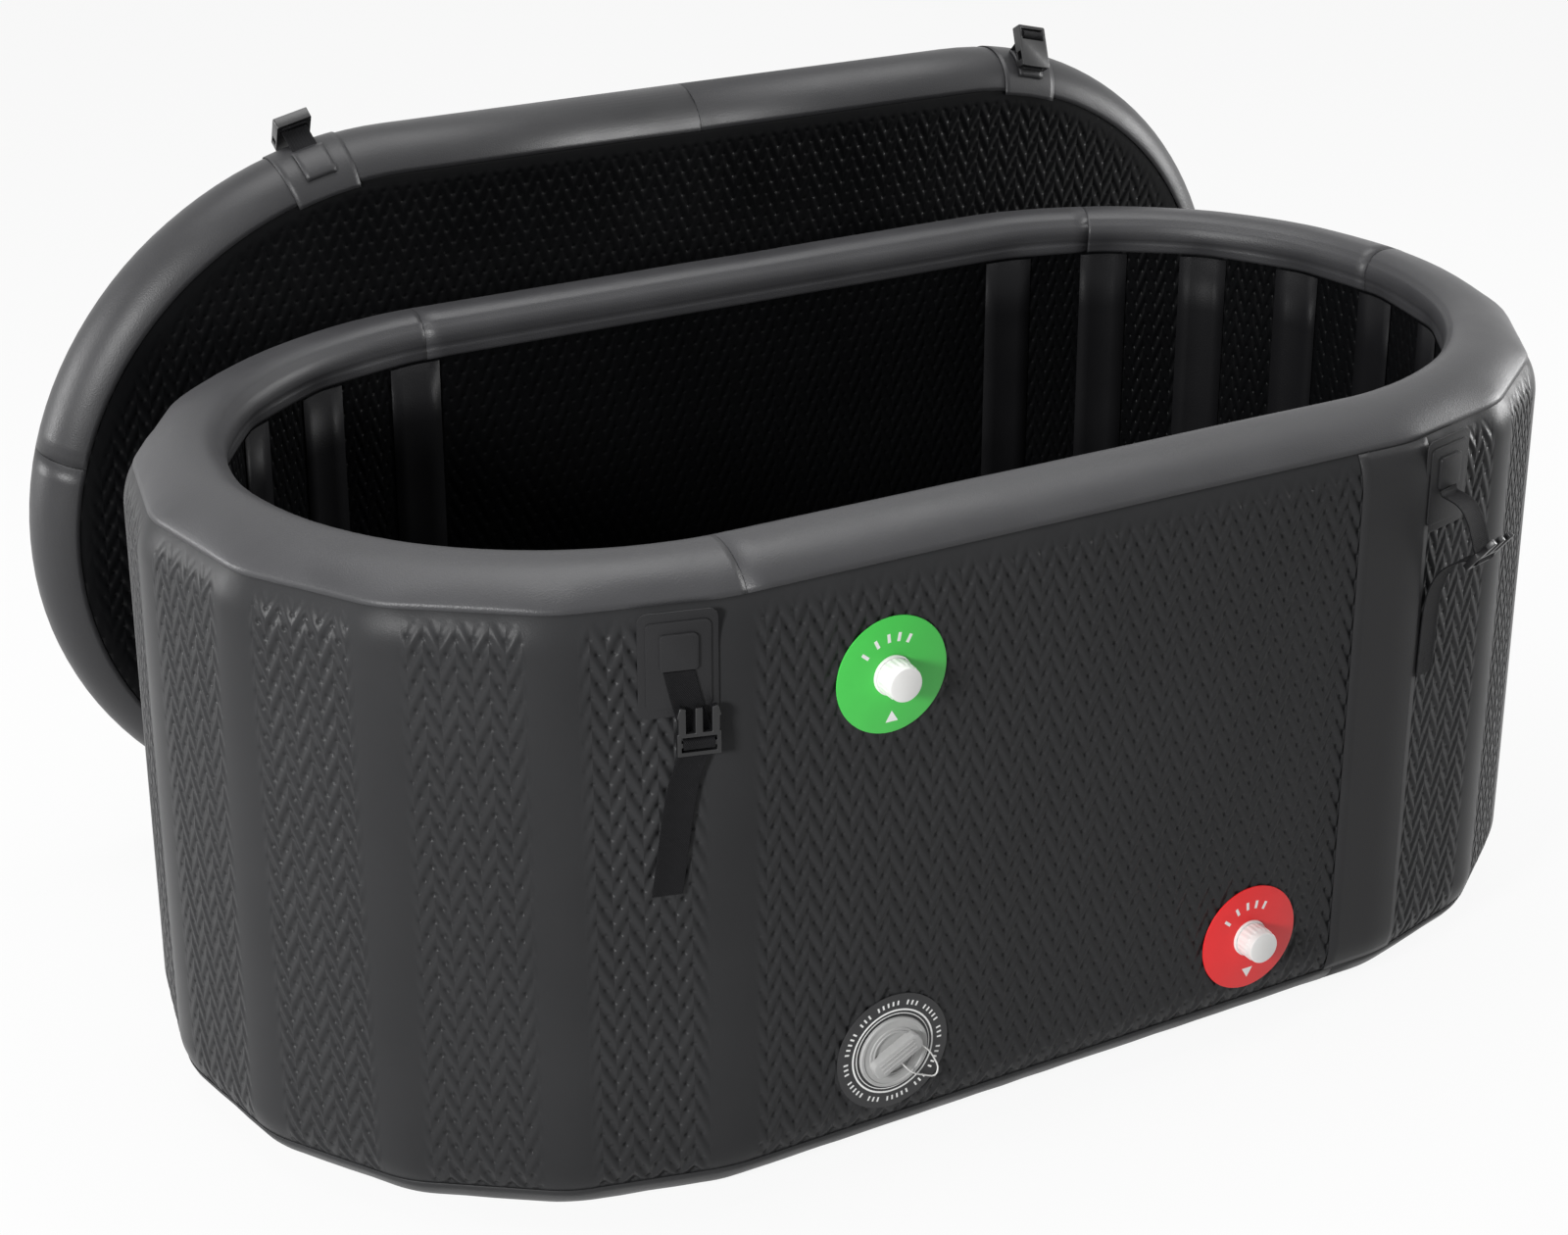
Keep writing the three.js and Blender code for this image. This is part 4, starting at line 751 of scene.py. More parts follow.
# Panel joint tape: a smooth upright strip welded over the joint of the wall panel at the front right.
# It runs from the bottom tape to the rim and laps a little over the first fold.
SEAM_TAPE_START, SEAM_TAPE_REACH, SEAM_TAPE_WAVES = SEAM_X - 0.012, 0.075, 0.0003
SHORT_OF_TAPE = 0.02
seam_cloth = smooth_cloth("smooth_seam_cloth", (0.019, 0.019, 0.020, 1), (0.026, 0.026, 0.0272, 1), 0.15)
seam_path = [(Vector((SEAM_TAPE_START, -TUB_WIDTH / 2)), 0.0, 0.0)]
first_bend = [s for s in tub_outline(0, 0.05) if s[1] <= SEAM_TAPE_REACH]
seam_path += [(point, along + SEAM_X - SEAM_TAPE_START, fold) for point, along, fold in first_bend]
seam_rows = (
    arc_rows(EDGE_OUTER, LOW_Z, EDGE_OUTER, RAIL_ANGLE - SHORT_OF_TAPE, math.pi)
    + straight_rows(0, LOW_Z, HIGH_Z, -1)
    + arc_rows(EDGE_OUTER, HIGH_Z, EDGE_OUTER, math.pi, RIM_ANGLE + SHORT_OF_TAPE)
)


def seam_tape_height(along, number, fold):
    return TAPE_LAP + wander(along * 20, seam_rows[number]["z"] * 9, 31.0, SEAM_TAPE_WAVES)


swept_sheet(
    "panel_joint_tape", seam_path, seam_rows, seam_tape_height, TAPE_SHEET, seam_cloth,
    "wall_seam_tape",
)

# Inner tapes: a smooth strip glued over each inner fold, up to the rim tape's lower edge.
# The strips stand on a band of the same tape, welded round the floor seam.
STRIP_HALF, STRIP_TOP = 0.034, TUB_HEIGHT - RIM_INNER_DROP - CLEAR
STRIP_SHEET, STRIP_WAVES, STRIP_FOLD, STRIP_GAP = 0.0010, 0.0002, 0.016, 0.0002
BAND_LOW, BAND_HIGH = INNER_BEND + 0.003, INNER_BEND + 0.037
# Painted shade: the inner tapes' colour is set darker than the outside tapes', for the shade inside the tub.
shaded_strip_cloth = smooth_cloth(
    "smooth_strip_cloth", (0.0063, 0.0063, 0.0070, 1), (0.0091, 0.0091, 0.0099, 1), 0.08,
)


def inner_tape_rows(low, high, count):
    return [
        {"depth": WALL, "z": high + (low - high) * i / count, "lean": 1.0, "rise": 0.0}
        for i in range(count + 1)
    ]


def inner_tape_height(along, number, fold):
    return TAPE_LAP + wander(along * 26, number * 0.7, 41.0, STRIP_WAVES)


half = STRIP_HALF / wall_length
for number, corner in enumerate(fold_corners()):
    middle = share_at(corner.x, corner.y)
    swept_sheet(
        f"inner_strip_{number + 1}", tub_outline(middle - half, middle + half, STRIP_FOLD),
        inner_tape_rows(BAND_HIGH + STRIP_GAP, STRIP_TOP, 8), inner_tape_height, STRIP_SHEET, shaded_strip_cloth,
        "inner_tape_right" if number < FOLDS else "inner_tape_left",
    )
swept_sheet(
    "floor_seam_band", tub_outline(0, 1, STRIP_FOLD), inner_tape_rows(BAND_LOW, BAND_HIGH, 3),
    inner_tape_height, STRIP_SHEET, shaded_strip_cloth,
)

# Floor sheet: one layer of the coated cloth, under the water and the bather.
# Its edge is tucked under the wall and held there by the bottom tape.
FLOOR_THICK, FLOOR_DEPTH = 0.0025, 0.0711


def raised(mesh, face, height):
    """Draws a face up into a solid, and gives the points of its top."""
    drawn = bmesh.ops.extrude_face_region(mesh, geom=[face])["geom"]
    top = [g for g in drawn if isinstance(g, bmesh.types.BMVert)]
    bmesh.ops.translate(mesh, verts=top, vec=(0, 0, height))
    return top


floor_mesh = bmesh.new()
floor_edge = [
    floor_mesh.verts.new(on_wall(point, {"depth": FLOOR_DEPTH, "z": 0, "lean": 0, "rise": 0}))
    for point, along, fold in wall_points[:-1]
]
floor_face = floor_mesh.faces.new(floor_edge)
raised(floor_mesh, floor_face, FLOOR_THICK)
bmesh.ops.recalc_face_normals(floor_mesh, faces=floor_mesh.faces[:])
tub_floor = made("tub_floor", floor_mesh, rail_cloth, smooth=False)
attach(tub_floor, "tub")
labelled(tub_floor, "floor_sheet")

# Strap patches: a round-cornered PVC patch on the first facet of each end, with a moulded pad on it.
# The pad has a raised tunnel, and the webbing comes out of the tunnel's lower mouth.
PATCH_SIZE, PATCH_CORNER, PATCH_THICK = (0.066, 0.092), 0.008, 0.0010
PAD_SIZE, PAD_CORNER, PAD_THICK, PAD_EDGE = (0.054, 0.076), 0.005, 0.0015, 0.0007
TUNNEL_SIZE, TUNNEL_CORNER, TUNNEL_THICK = (0.032, 0.032), 0.004, 0.003
TUNNEL_EDGE, TUNNEL_SUNK, PIVOT_CLEAR = 0.0012, 0.0002, 0.00105
PATCH_Z, SLOT_Z, PATCH_SHIFT = 0.524, 0.519, 0.028
FACET_ANGLE = FIRST_FOLD + FOLD_STEP / 2
PATCH_TOP = CLEAR + PATCH_THICK
PAD_TOP = PATCH_TOP + CLEAR + PAD_THICK


def facet_frame(side):
    """The frame of an end's first facet: X along the facet, -Y out of it."""
    normal = math.radians(270) + side * FACET_ANGLE
    turn = side * FACET_ANGLE
    place = Vector((
        side * END_CENTRE + FACET_RADIUS * math.cos(normal) - side * PATCH_SHIFT * math.cos(turn),
        FACET_RADIUS * math.sin(normal) - side * PATCH_SHIFT * math.sin(turn),
        0,
    ))
    return Matrix.Translation(place) @ Matrix.Rotation(turn, 4, "Z")


CRISP = math.radians(40)


def finished(name, mesh, matrix, material, body, node=None):
    """Places a shaped bmesh and makes it a piece that rides on a body."""
    mesh.transform(matrix)
    bmesh.ops.remove_doubles(mesh, verts=mesh.verts[:], dist=1e-6)
    bmesh.ops.recalc_face_normals(mesh, faces=mesh.faces[:])
    piece = made(name, mesh, material)
    piece.data.set_sharp_from_angle(angle=CRISP)
    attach(piece, body)
    return labelled(piece, node)


def plate(mesh, size, corner, low, high, middle=(0, 0), edge=0.0003):
    """A flat plate with rounded corners and a softened top edge, lying on the facet."""
    grid = bmesh.ops.create_grid(mesh, x_segments=1, y_segments=1, size=0.5)["verts"]
    bmesh.ops.scale(mesh, vec=(size[0], size[1], 1), verts=grid)
    bmesh.ops.translate(mesh, vec=(middle[0], middle[1], low), verts=grid)
    bmesh.ops.bevel(
        mesh, geom=grid, offset=corner, offset_type="OFFSET", segments=6, profile=0.5,
        affect="VERTICES", material=-1,
    )
    flat = min(
        (f for f in mesh.faces if all(abs(v.co.z - low) < 1e-7 for v in f.verts)),
        key=lambda f: (f.calc_center_median().xy - Vector(middle)).length,
    )
    kept = set(raised(mesh, flat, high - low))
    ridge = [e for e in mesh.edges if all(v in kept for v in e.verts)]
    bmesh.ops.bevel(
        mesh, geom=ridge, offset=edge, offset_type="OFFSET", segments=2, profile=0.5,
        affect="EDGES", material=-1,
    )


ON_FACET = Matrix.Rotation(math.radians(90), 4, "X")
patch_cloth = smooth_cloth("patch_cloth", (0.016, 0.016, 0.017, 1), (0.022, 0.022, 0.0232, 1), 0.15)
for side, name in ((-1, "left"), (1, "right")):
    place = facet_frame(side) @ ON_FACET
    mesh = bmesh.new()
    plate(mesh, PATCH_SIZE, PATCH_CORNER, CLEAR, PATCH_TOP, (0, PATCH_Z))
    finished(f"strap_patch_{name}_cloth", mesh, place, patch_cloth, "tub", f"strap_patch_{name}")
    mesh = bmesh.new()
    plate(mesh, PAD_SIZE, PAD_CORNER, PATCH_TOP, PAD_TOP, (0, PATCH_Z), PAD_EDGE)
    tunnel_z = SLOT_Z + PIVOT_CLEAR + TUNNEL_SIZE[1] / 2
    tunnel_low, tunnel_top = PAD_TOP - TUNNEL_SUNK, PAD_TOP + TUNNEL_THICK
    plate(mesh, TUNNEL_SIZE, TUNNEL_CORNER, tunnel_low, tunnel_top, (0, tunnel_z), TUNNEL_EDGE)
    finished(f"strap_tunnel_{name}_pad", mesh, place, patch_cloth, "tub", f"strap_tunnel_{name}")

# Tub straps: 26 mm woven webbing that hangs from each tunnel, laced through a side-release buckle.
WEBBING_WIDTH, WEBBING_THICK, WEBBING_SELVEDGE = 0.026, 0.0014, (0.0004, 0.003, 0.0036)
WEBBING_CLOUD, WARP, WEFT, WEAVE_RELIEF = 120, 0.0016, 0.0022, 0.00025
BUCKLE_SLOTS, MALE_LACE, MALE_EDGE = (0.00575, 0.01425), 0.0040, 0.0007


def webbing_cloth(name, dark, pale):
    """Plain woven webbing: fine cross ribs with a ridge down each edge."""
    material, tree, surface = shader(name, 0.7, 0.12)
    place = mottled_colour(tree, surface, dark, pale, WEBBING_CLOUD)[0]
    split = tree.nodes.new("ShaderNodeSeparateXYZ")
    tree.links.new(place["UV"], split.inputs[0])
    warp = maths(tree, "SINE", maths(tree, "MULTIPLY", split.outputs["X"], 2 * math.pi / WARP))
    weft = maths(tree, "SINE", maths(tree, "MULTIPLY", split.outputs["Y"], 2 * math.pi / WEFT))
    relief(tree, surface, maths(tree, "MULTIPLY", warp, weft), WEAVE_RELIEF)
    return material


def eased(points, rounds=3):
    """Cuts a path's corners back into soft bends."""
    for _ in range(rounds):
        soft = [points[0]]
        for a, b in zip(points, points[1:]):
            soft += [a.lerp(b, 0.25), a.lerp(b, 0.75)]
        points = soft + [points[-1]]
    return points


def webbing(path, matrix, body):
    """A flat strap drawn along a path, its width along the frame's X axis. It is a body of its own."""
    mesh = bmesh.new()
    along_of = mesh.verts.layers.float.new("along")
    half, thick = WEBBING_WIDTH / 2, WEBBING_THICK / 2
    edge, ridge, web = WEBBING_SELVEDGE
    thin = thick * 0.75
    selvedge = ((half - edge, thick), (half - ridge, thick), (half - web, thin))
    under = [(-x, -y) for x, y in selvedge] + [(x, -y) for x, y in reversed(selvedge)]
    section = [(-half, 0), *under, (half, 0), *((x, -y) for x, y in reversed(under))]
    loops, along = [], 0.0
    for i, point in enumerate(path):
        before, after = path[max(i - 1, 0)], path[min(i + 1, len(path) - 1)]
        along += (point - before).length
        way = Vector((0, after.y - before.y, after.z - before.z)).normalized()
        over = Vector((0, -way.z, way.y))
        ring = [mesh.verts.new(point + Vector((x, 0, 0)) + over * y) for x, y in section]
        for vert in ring:
            vert[along_of] = along
        loops.append(closed_loop(mesh, ring))
    bridged(mesh, loops)
    laid_flat(mesh, lambda vert: (vert.co.x, vert[along_of]))
    return finished(f"{body}_webbing", mesh, matrix, strap_cloth, body, body)


strap_cloth = webbing_cloth("black_webbing", (0.004, 0.004, 0.0045, 1), (0.008, 0.008, 0.009, 1))


def laced(buckle, lace):
    """The webbing's way through the two slots of a buckle."""
    corners = ((1, -1), (1, 1), (0, 1), (0, -1))
    return [buckle @ Vector((0, -out * lace, BUCKLE_SLOTS[slot])) for slot, out in corners]


def hang(points):
    """Points of a facet in millimetres: along it, out of it and up."""
    return [Vector((x, -out, z)) / 1000 for x, out, z in points]


black_plastic = plastic(
    "black_buckle_plastic", (0.004, 0.004, 0.0045, 1), (0.007, 0.007, 0.0077, 1), 0.38, 80, 0.0002,
)


def softened(node, material, body, width, form="moulding"):
    """A copy of a moulded part with its sharp edges rounded."""
    mesh = bmesh.new()
    mesh.from_mesh(nodes[node].data)
    bmesh.ops.remove_doubles(mesh, verts=mesh.verts[:], dist=1e-6)
    bmesh.ops.dissolve_limit(
        mesh, angle_limit=math.radians(2), verts=mesh.verts[:], edges=mesh.edges[:],
    )
    sharp = [e for e in mesh.edges if e.is_manifold and e.calc_face_angle(0) > math.radians(32)]
    bmesh.ops.bevel(
        mesh, geom=sharp, offset=width, offset_type="OFFSET", segments=2, profile=0.5,
        affect="EDGES", clamp_overlap=True, material=-1,
    )
    return finished(f"{node}_{form}", mesh, Matrix(), material, body, node)


for side, name, buckle_at, tilt, drop, tail in (
    (
        -1, "left", (14, 10, 447), 0, ((4, 4.4, 500), (9, 4.6, 480)),
        ((9, 4.6, 440), (0, 3.2, 410), (-12, 2.6, 317)),
    ),
    (
        1, "right", (4, 38, 452), 38,
        ((0, 5.2, 513.5), (0, 13, 512.5), (1, 25, 509), (2, 34, 497.5), (3, 40, 481)),
        ((-2, 24, 452), (-6, 12, 440), (-9, 4.5, 418), (-10, 2.6, 395), (-12, 2.6, 332)),
    ),
):
    stand = Matrix.Translation(hang([buckle_at])[0]) @ Matrix.Rotation(math.radians(tilt), 4, "X")
    root = Vector((0, -(PAD_TOP + PIVOT_CLEAR), SLOT_Z))
    path = [root, *hang(drop), *laced(stand, MALE_LACE), *hang(tail)]
    webbing(eased(path), facet_frame(side), f"strap_{name}")
    softened(f"male_buckle_{name}", black_plastic, f"strap_{name}", MALE_EDGE)

# Lid: an inflated drop-stitch board of the tub's outline, leaning on the back wall with its face
# towards the tub. Its faces are embossed like the wall, and smooth tape covers its round rim.
LID_LENGTH, LID_WIDTH, LID_THICK = 1.420, 0.766, 0.095
LID_RIM_INSET, LID_UNDER_RIM, LID_SHOULDER = 0.035, 0.004, 0.016
LID_SMOOTH, LID_DEPTH, LID_SUNK = 0.030, 0.0008, 0.0001
LID_RELIEF, LID_SHEEN = 0.0008, 0.09
LID_WANDER, LID_GATHER, LID_EDGE_DIP = 0.0006, 0.0009, 0.0006
STRAIGHT_STATIONS = 27
LID_EDGE = LID_THICK / 2 - TAPE_LAP
LID_RADIUS = LID_WIDTH / 2 - TAPE_LAP
LID_CENTRE = LID_LENGTH / 2 - LID_WIDTH / 2
LID_LEAN = math.radians(86.2)
LID_X = 0.013
lid_z = (LID_WIDTH / 2 - LID_THICK / 2) * math.sin(LID_LEAN) + LID_THICK / 2
lid_reach = EDGE_OUTER + CLEAR + LID_EDGE
lid_y = TUB_WIDTH / 2 - EDGE_OUTER
lid_y += (lid_reach - (lid_z - HIGH_Z) * math.cos(LID_LEAN)) / math.sin(LID_LEAN)
LID_FRAME = Matrix.Translation((LID_X, lid_y, lid_z)) @ Matrix.Rotation(math.pi - LID_LEAN, 4, "X")
# The lid's faces take the same painted-dark colour: painted shade on the face turned towards the tub.
lid_cloth = embossed_cloth("lid_embossed_cloth", SHADE_PAINTED_DARK, SHADE_PAINTED_PALE, LID_RELIEF, LID_SHEEN)
lid_rim_cloth = smooth_cloth("lid_rim_cloth", (0.0190, 0.0190, 0.0204, 1), (0.0270, 0.0270, 0.0288, 1))


def lid_outline(start, finish, step=math.radians(3)):
    """Points of the lid's outline, counter-clockwise by angle; whole turns carry on past 360."""
    stations, along = [], 0.0
    count = max(2, round((finish - start) / step))
    for i in range(count + 1):
        angle = start + (finish - start) * i / count
        end = 1 if math.cos(angle) > 0 else -1
        point = Vector((end * LID_CENTRE + LID_RADIUS * math.cos(angle), LID_RADIUS * math.sin(angle)))
        if stations and stations[-1][0].x * point.x < 0 and abs(stations[-1][0].x - point.x) > LID_CENTRE:
            side = math.copysign(LID_RADIUS, math.sin(angle))
            for k in range(STRAIGHT_STATIONS + 1):
                x = -end * LID_CENTRE + 2 * end * LID_CENTRE * k / STRAIGHT_STATIONS
                straight = Vector((x, side))
                along += (straight - stations[-1][0]).length
                stations.append((straight, along, 0.0))
        along += (point - stations[-1][0]).length if stations else 0
        stations.append((point, along, 0.0))
    return stations


def on_lid(point, row, offset=0.0):
    return LID_FRAME @ on_wall(point, row, offset, LID_CENTRE, LID_RADIUS)


def lid_skin(name, side):
    """One face of the lid: a grid cut to the outline, set in under the rim tape and embossed."""
    mesh = bmesh.new()
    across, up = COLUMN / 2, ROW / 4
    reach = LID_RADIUS - LID_RIM_INSET + LID_UNDER_RIM
    drop = LID_EDGE * (1 - math.sin(math.acos(1 - (LID_RIM_INSET - LID_UNDER_RIM) / LID_EDGE)))
    wide, high = math.ceil((LID_CENTRE + reach) / across), math.ceil(reach / up)
    bmesh.ops.create_grid(mesh, x_segments=2 * wide, y_segments=2 * high, size=1)

    def arm(vert):
        return Vector((vert.co.x - max(-LID_CENTRE, min(LID_CENTRE, vert.co.x)), vert.co.y))

    for vert in mesh.verts:
        vert.co = (vert.co.x * wide * across, vert.co.y * high * up, 0)
    outside = [f for f in mesh.faces if all(arm(vert).length > reach for vert in f.verts)]
    bmesh.ops.delete(mesh, geom=outside, context="FACES")
    fold_of = mesh.verts.layers.float.new("fold")
    for vert in mesh.verts:
        vert.co.xy += arm(vert) * min(0.0, reach / max(arm(vert).length, 1e-6) - 1)
        edge = reach - arm(vert).length
        shown = ramp(edge, LID_SMOOTH / 3, LID_SMOOTH)
        height = LID_EDGE - LID_SUNK - LID_DEPTH * (1 - embossing(vert.co.x, vert.co.y)) * shown
        vert.co.z = side * (height - drop * (1 - ramp(edge, 0, LID_SHOULDER)))
        vert[fold_of] = 1 - shown
    laid_flat(mesh, lambda vert: vert.co.xy)
    piece = finished(name, mesh, LID_FRAME, lid_cloth, "lid", f"{name}_skin")
    middle = len(piece.data.polygons) // 2
    if piece.data.polygons[middle].normal.dot(LID_FRAME.to_3x3() @ Vector((0, 0, side))) < 0:
        piece.data.flip_normals()
    thickened(piece, SKIN, rim_only=True)


lid_skin("lid_face", 1)
lid_skin("lid_back", -1)
rim_turn = math.acos(1 - LID_RIM_INSET / (LID_THICK / 2))
lid_rim_rows = arc_rows(LID_EDGE, 0, LID_EDGE, math.pi + rim_turn, math.pi - rim_turn, math.radians(6))


def lid_rim_height(along, number, fold):
    """The lid rim's surface: nearly even, and gathered at both edges."""
    edge = min(number, len(lid_rim_rows) - 1 - number)
    slow = wander(along * 8, number * 0.15, 51.0, LID_WANDER)
    quick = wander(along * 36, number * 0.3, 55.0, LID_GATHER) * max(0.0, 1 - edge / 4)
    return TAPE_LAP + (slow + quick if edge else -LID_EDGE_DIP)


small = SEAM_GAP / LID_RADIUS
for rim_name, start, finish in (
    ("lid_rim_tape_right", -15, 90), ("lid_rim_tape_left", 90, 165), ("lid_rim_tape_bottom", 165, 345),
):
    path = lid_outline(math.radians(start) + small, math.radians(finish))
    if rim_name == "lid_rim_tape_right":
        path.append((Vector((CLEAR, LID_RADIUS)), path[-1][1] + LID_CENTRE, 0.0))
    if rim_name == "lid_rim_tape_left":
        path.insert(0, (Vector((-CLEAR, LID_RADIUS)), -LID_CENTRE, 0.0))
    swept_sheet(
        f"{rim_name}_band", path, lid_rim_rows, lid_rim_height, TAPE_SHEET, lid_rim_cloth,
        rim_name, "lid", on_lid,
    )

# Lid straps: a patch that wraps the rim, a tunnel on it, and short webbing laced through the
# female half of the buckle.
LID_STRAP_TURN, LID_STEP = math.radians(13.5), math.radians(5)
LID_PATCH_HALF, LID_PATCH_TOP, LID_PATCH_THICK = 0.036, 0.0028, 0.0010
LID_TUNNEL_TOP, LID_TUNNEL_THICK = 0.0061, 0.0028
FEMALE_LACE, FEMALE_EDGE = 0.0072, 0.0009
patch_rows = arc_rows(LID_EDGE, 0, LID_EDGE, math.radians(215), math.radians(100), LID_STEP)
tunnel_rows = arc_rows(LID_EDGE, 0, LID_EDGE, math.radians(168), math.radians(125), LID_STEP)
root_chord = math.cos(math.radians(11.25)) / math.cos(math.radians(3.25))
root_radius, root_turn = (LID_THICK / 2 + PATCH_TOP) * root_chord + PIVOT_CLEAR, math.radians(8)
root = Vector((0, root_radius * math.cos(root_turn) - LID_THICK / 2, root_radius * math.sin(root_turn)))


def patch_height(along, number, fold):
    return LID_PATCH_TOP


def tunnel_height(along, number, fold):
    return LID_TUNNEL_TOP - (TUNNEL_EDGE if number in (0, len(tunnel_rows) - 1) else 0)


for side, name, up, out, tilt, flip in ((-1, "left", 29.6, -9, 131, 1), (1, "right", 31, 12.3, 52, -1)):
    middle = math.pi / 2 - side * LID_STRAP_TURN
    for piece, form, half_width, step, rows, height, thickness in (
        ("patch", "cloth", LID_PATCH_HALF, 1, patch_rows, patch_height, LID_PATCH_THICK),
        ("tunnel", "pad", TUNNEL_SIZE[0] / 2, 0.8, tunnel_rows, tunnel_height, LID_TUNNEL_THICK),
    ):
        half = half_width / LID_RADIUS
        swept_sheet(
            f"lid_strap_{piece}_{name}_{form}",
            lid_outline(middle - half, middle + half, math.radians(step)), rows, height, thickness,
            lid_rim_cloth, f"lid_strap_{piece}_{name}", "lid", on_lid,
        )
    edge_frame = (
        LID_FRAME @ Matrix.Translation((side * LID_CENTRE, 0, 0))
        @ Matrix.Rotation(middle - math.pi / 2, 4, "Z")
        @ Matrix.Translation((0, LID_RADIUS * math.cos(math.radians(4.5)) + TAPE_LAP, 0))
    )
    stand = Matrix.Translation((0, up / 1000, out / 1000)) @ Matrix.Rotation(math.radians(tilt), 4, "X")
    webbing(eased([root, *laced(stand, flip * FEMALE_LACE)]), edge_frame, f"lid_strap_{name}")
    softened(f"female_buckle_{name}", black_plastic, f"lid_strap_{name}", FEMALE_EDGE)

# Water fittings: a coloured PVC disc welded to the wall round a threaded white pipe. A collar holds the
# pipe outside, a rubber gasket and a hexagonal nut hold it inside, and a ribbed cap screws on its end.
DISC_RADIUS, DISC_TOP, DISC_HOLE, DISC_EDGE = 0.053, 0.0015, 0.0133, 0.0006
BAR_TURNS, BAR_SPAN, BAR_WIDTH = (140, 116, 96, 79, 62), (0.030, 0.008), 0.0030
NUT_EDGE, GASKET_EDGE = 0.0006, 0.0004
PIPE_RADIUS, PIPE_BORE, COLLAR_RADIUS = 0.013, 0.009, 0.018
COLLAR_TOP, COLLAR_EDGE, PIPE_TIP = 0.0043, 0.0008, 0.0216
CAP_RADIUS, CAP_RIBS, CAP_RIB_DEPTH = 0.0165, 20, 0.0007
CAP_LOW, CAP_INSIDE, CAP_TOP = 0.0046, 0.0219, 0.0249
RIB_LOW, RIB_HIGH = 0.0055, 0.0175
PRINT = 0.0001


def turned(mesh, profile, segments=96):
    """A round piece: a closed profile of radius and height, turned about the Z axis."""
    verts = [mesh.verts.new((radius, 0, height)) for radius, height in profile]
    bmesh.ops.spin(
        mesh, geom=verts + closed_loop(mesh, verts), cent=(0, 0, 0), axis=(0, 0, 1), angle=2 * math.pi,
        steps=segments, use_merge=True,
    )


def ring_profile(inside, outside, low, high, edge):
    """The profile of a flat ring with a softened outer edge."""
    return [
        (inside, low), (inside, high), (outside - edge, high), (outside - edge * 0.3, high - edge * 0.3),
        (outside, high - edge), (outside, low),
    ]


def printed(mesh, outline, top):
    """A flat printed mark on a surface of that height."""
    raised(mesh, mesh.faces.new([mesh.verts.new((x, y, top - PRINT)) for x, y in outline]), 2 * PRINT)


def bar(radius, length, middle, width):
    """The outline of a short mark that points away from the centre, at an angle in degrees."""
    turn = Matrix.Rotation(math.radians(middle), 2)
    corners = ((0, -1), (1, -1), (1, 1), (0, 1))
    return [turn @ Vector((radius + length * a, width / 2 * b)) for a, b in corners]


white_print = plastic("white_print", (0.80, 0.80, 0.79, 1), (0.86, 0.86, 0.85, 1), 0.5)
black_rubber = plastic("black_rubber", (0.010, 0.010, 0.011, 1), (0.018, 0.018, 0.019, 1), 0.6)
for name, colour, dark, pale, triangle in (
    (
        "water_in", "green_disc", (0.045, 0.50, 0.062, 1), (0.055, 0.56, 0.072, 1),
        ((-6, -43), (6, -43), (0, -33)),
    ),
    (
        "water_out", "red_disc", (0.78, 0.013, 0.015, 1), (0.85, 0.017, 0.020, 1),
        ((-6, -33), (0, -43), (6, -33)),
    ),
):
    place = wall_seat(f"{name}_disc") @ ON_FACET
    mesh = bmesh.new()
    turned(mesh, ring_profile(DISC_HOLE, DISC_RADIUS, CLEAR, DISC_TOP, DISC_EDGE))
    vinyl = plastic(f"{colour}_vinyl", dark, pale, 0.42)
    finished(f"{name}_disc_sheet", mesh, place, vinyl, "tub", f"{name}_disc")
    mesh = bmesh.new()
    for middle in BAR_TURNS:
        printed(mesh, bar(*BAR_SPAN, middle, BAR_WIDTH), DISC_TOP)
    printed(mesh, [(x / 1000, y / 1000) for x, y in triangle], DISC_TOP)
    finished(f"{name}_marks", mesh, place, white_print, "tub")
    pipe_end = (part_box(f"{name}_pipe")[1].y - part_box(f"{name}_disc")[1].y) - CLEAR
    mesh = bmesh.new()
    turned(mesh, [
        (PIPE_BORE, -pipe_end), (PIPE_BORE, PIPE_TIP), (PIPE_RADIUS, PIPE_TIP), (PIPE_RADIUS, COLLAR_TOP),
        (COLLAR_RADIUS - COLLAR_EDGE, COLLAR_TOP), (COLLAR_RADIUS, COLLAR_TOP - COLLAR_EDGE),
        (COLLAR_RADIUS, DISC_TOP + CLEAR), (PIPE_RADIUS, DISC_TOP + CLEAR), (PIPE_RADIUS, -pipe_end),
    ])
    finished(f"{name}_pipe_turning", mesh, place, white_plastic, "tub", f"{name}_pipe")
    mesh = bmesh.new()
    turned(mesh, [
        (0, CAP_INSIDE), (DISC_HOLE, CAP_INSIDE), (DISC_HOLE, CAP_LOW), (CAP_RADIUS - 0.0004, CAP_LOW),
        (CAP_RADIUS, RIB_LOW), (CAP_RADIUS, RIB_HIGH), (CAP_RADIUS - 0.0008, RIB_HIGH + 0.0008),
        (CAP_RADIUS - 0.0009, CAP_TOP - 0.0018), (CAP_RADIUS - 0.0014, CAP_TOP - 0.0006),
        (CAP_RADIUS - 0.0026, CAP_TOP), (0, CAP_TOP),
    ], CAP_RIBS * 6)
    for vert in mesh.verts:
        radius = math.hypot(vert.co.x, vert.co.y)
        if radius > CAP_RADIUS - 0.0001:
            rib = 0.5 + 0.5 * math.cos(CAP_RIBS * math.atan2(vert.co.y, vert.co.x))
            shrink = 1 - CAP_RIB_DEPTH * (1 - rib) / radius
            vert.co.x, vert.co.y = vert.co.x * shrink, vert.co.y * shrink
    cap = f"{name}_cap"
    finished(f"{cap}_moulding", mesh, place, white_plastic, cap, cap)
    softened(f"{name}_lock_nut", white_plastic, "tub", NUT_EDGE)
    softened(f"{name}_gasket", black_rubber, "tub", GASKET_EDGE, "ring")

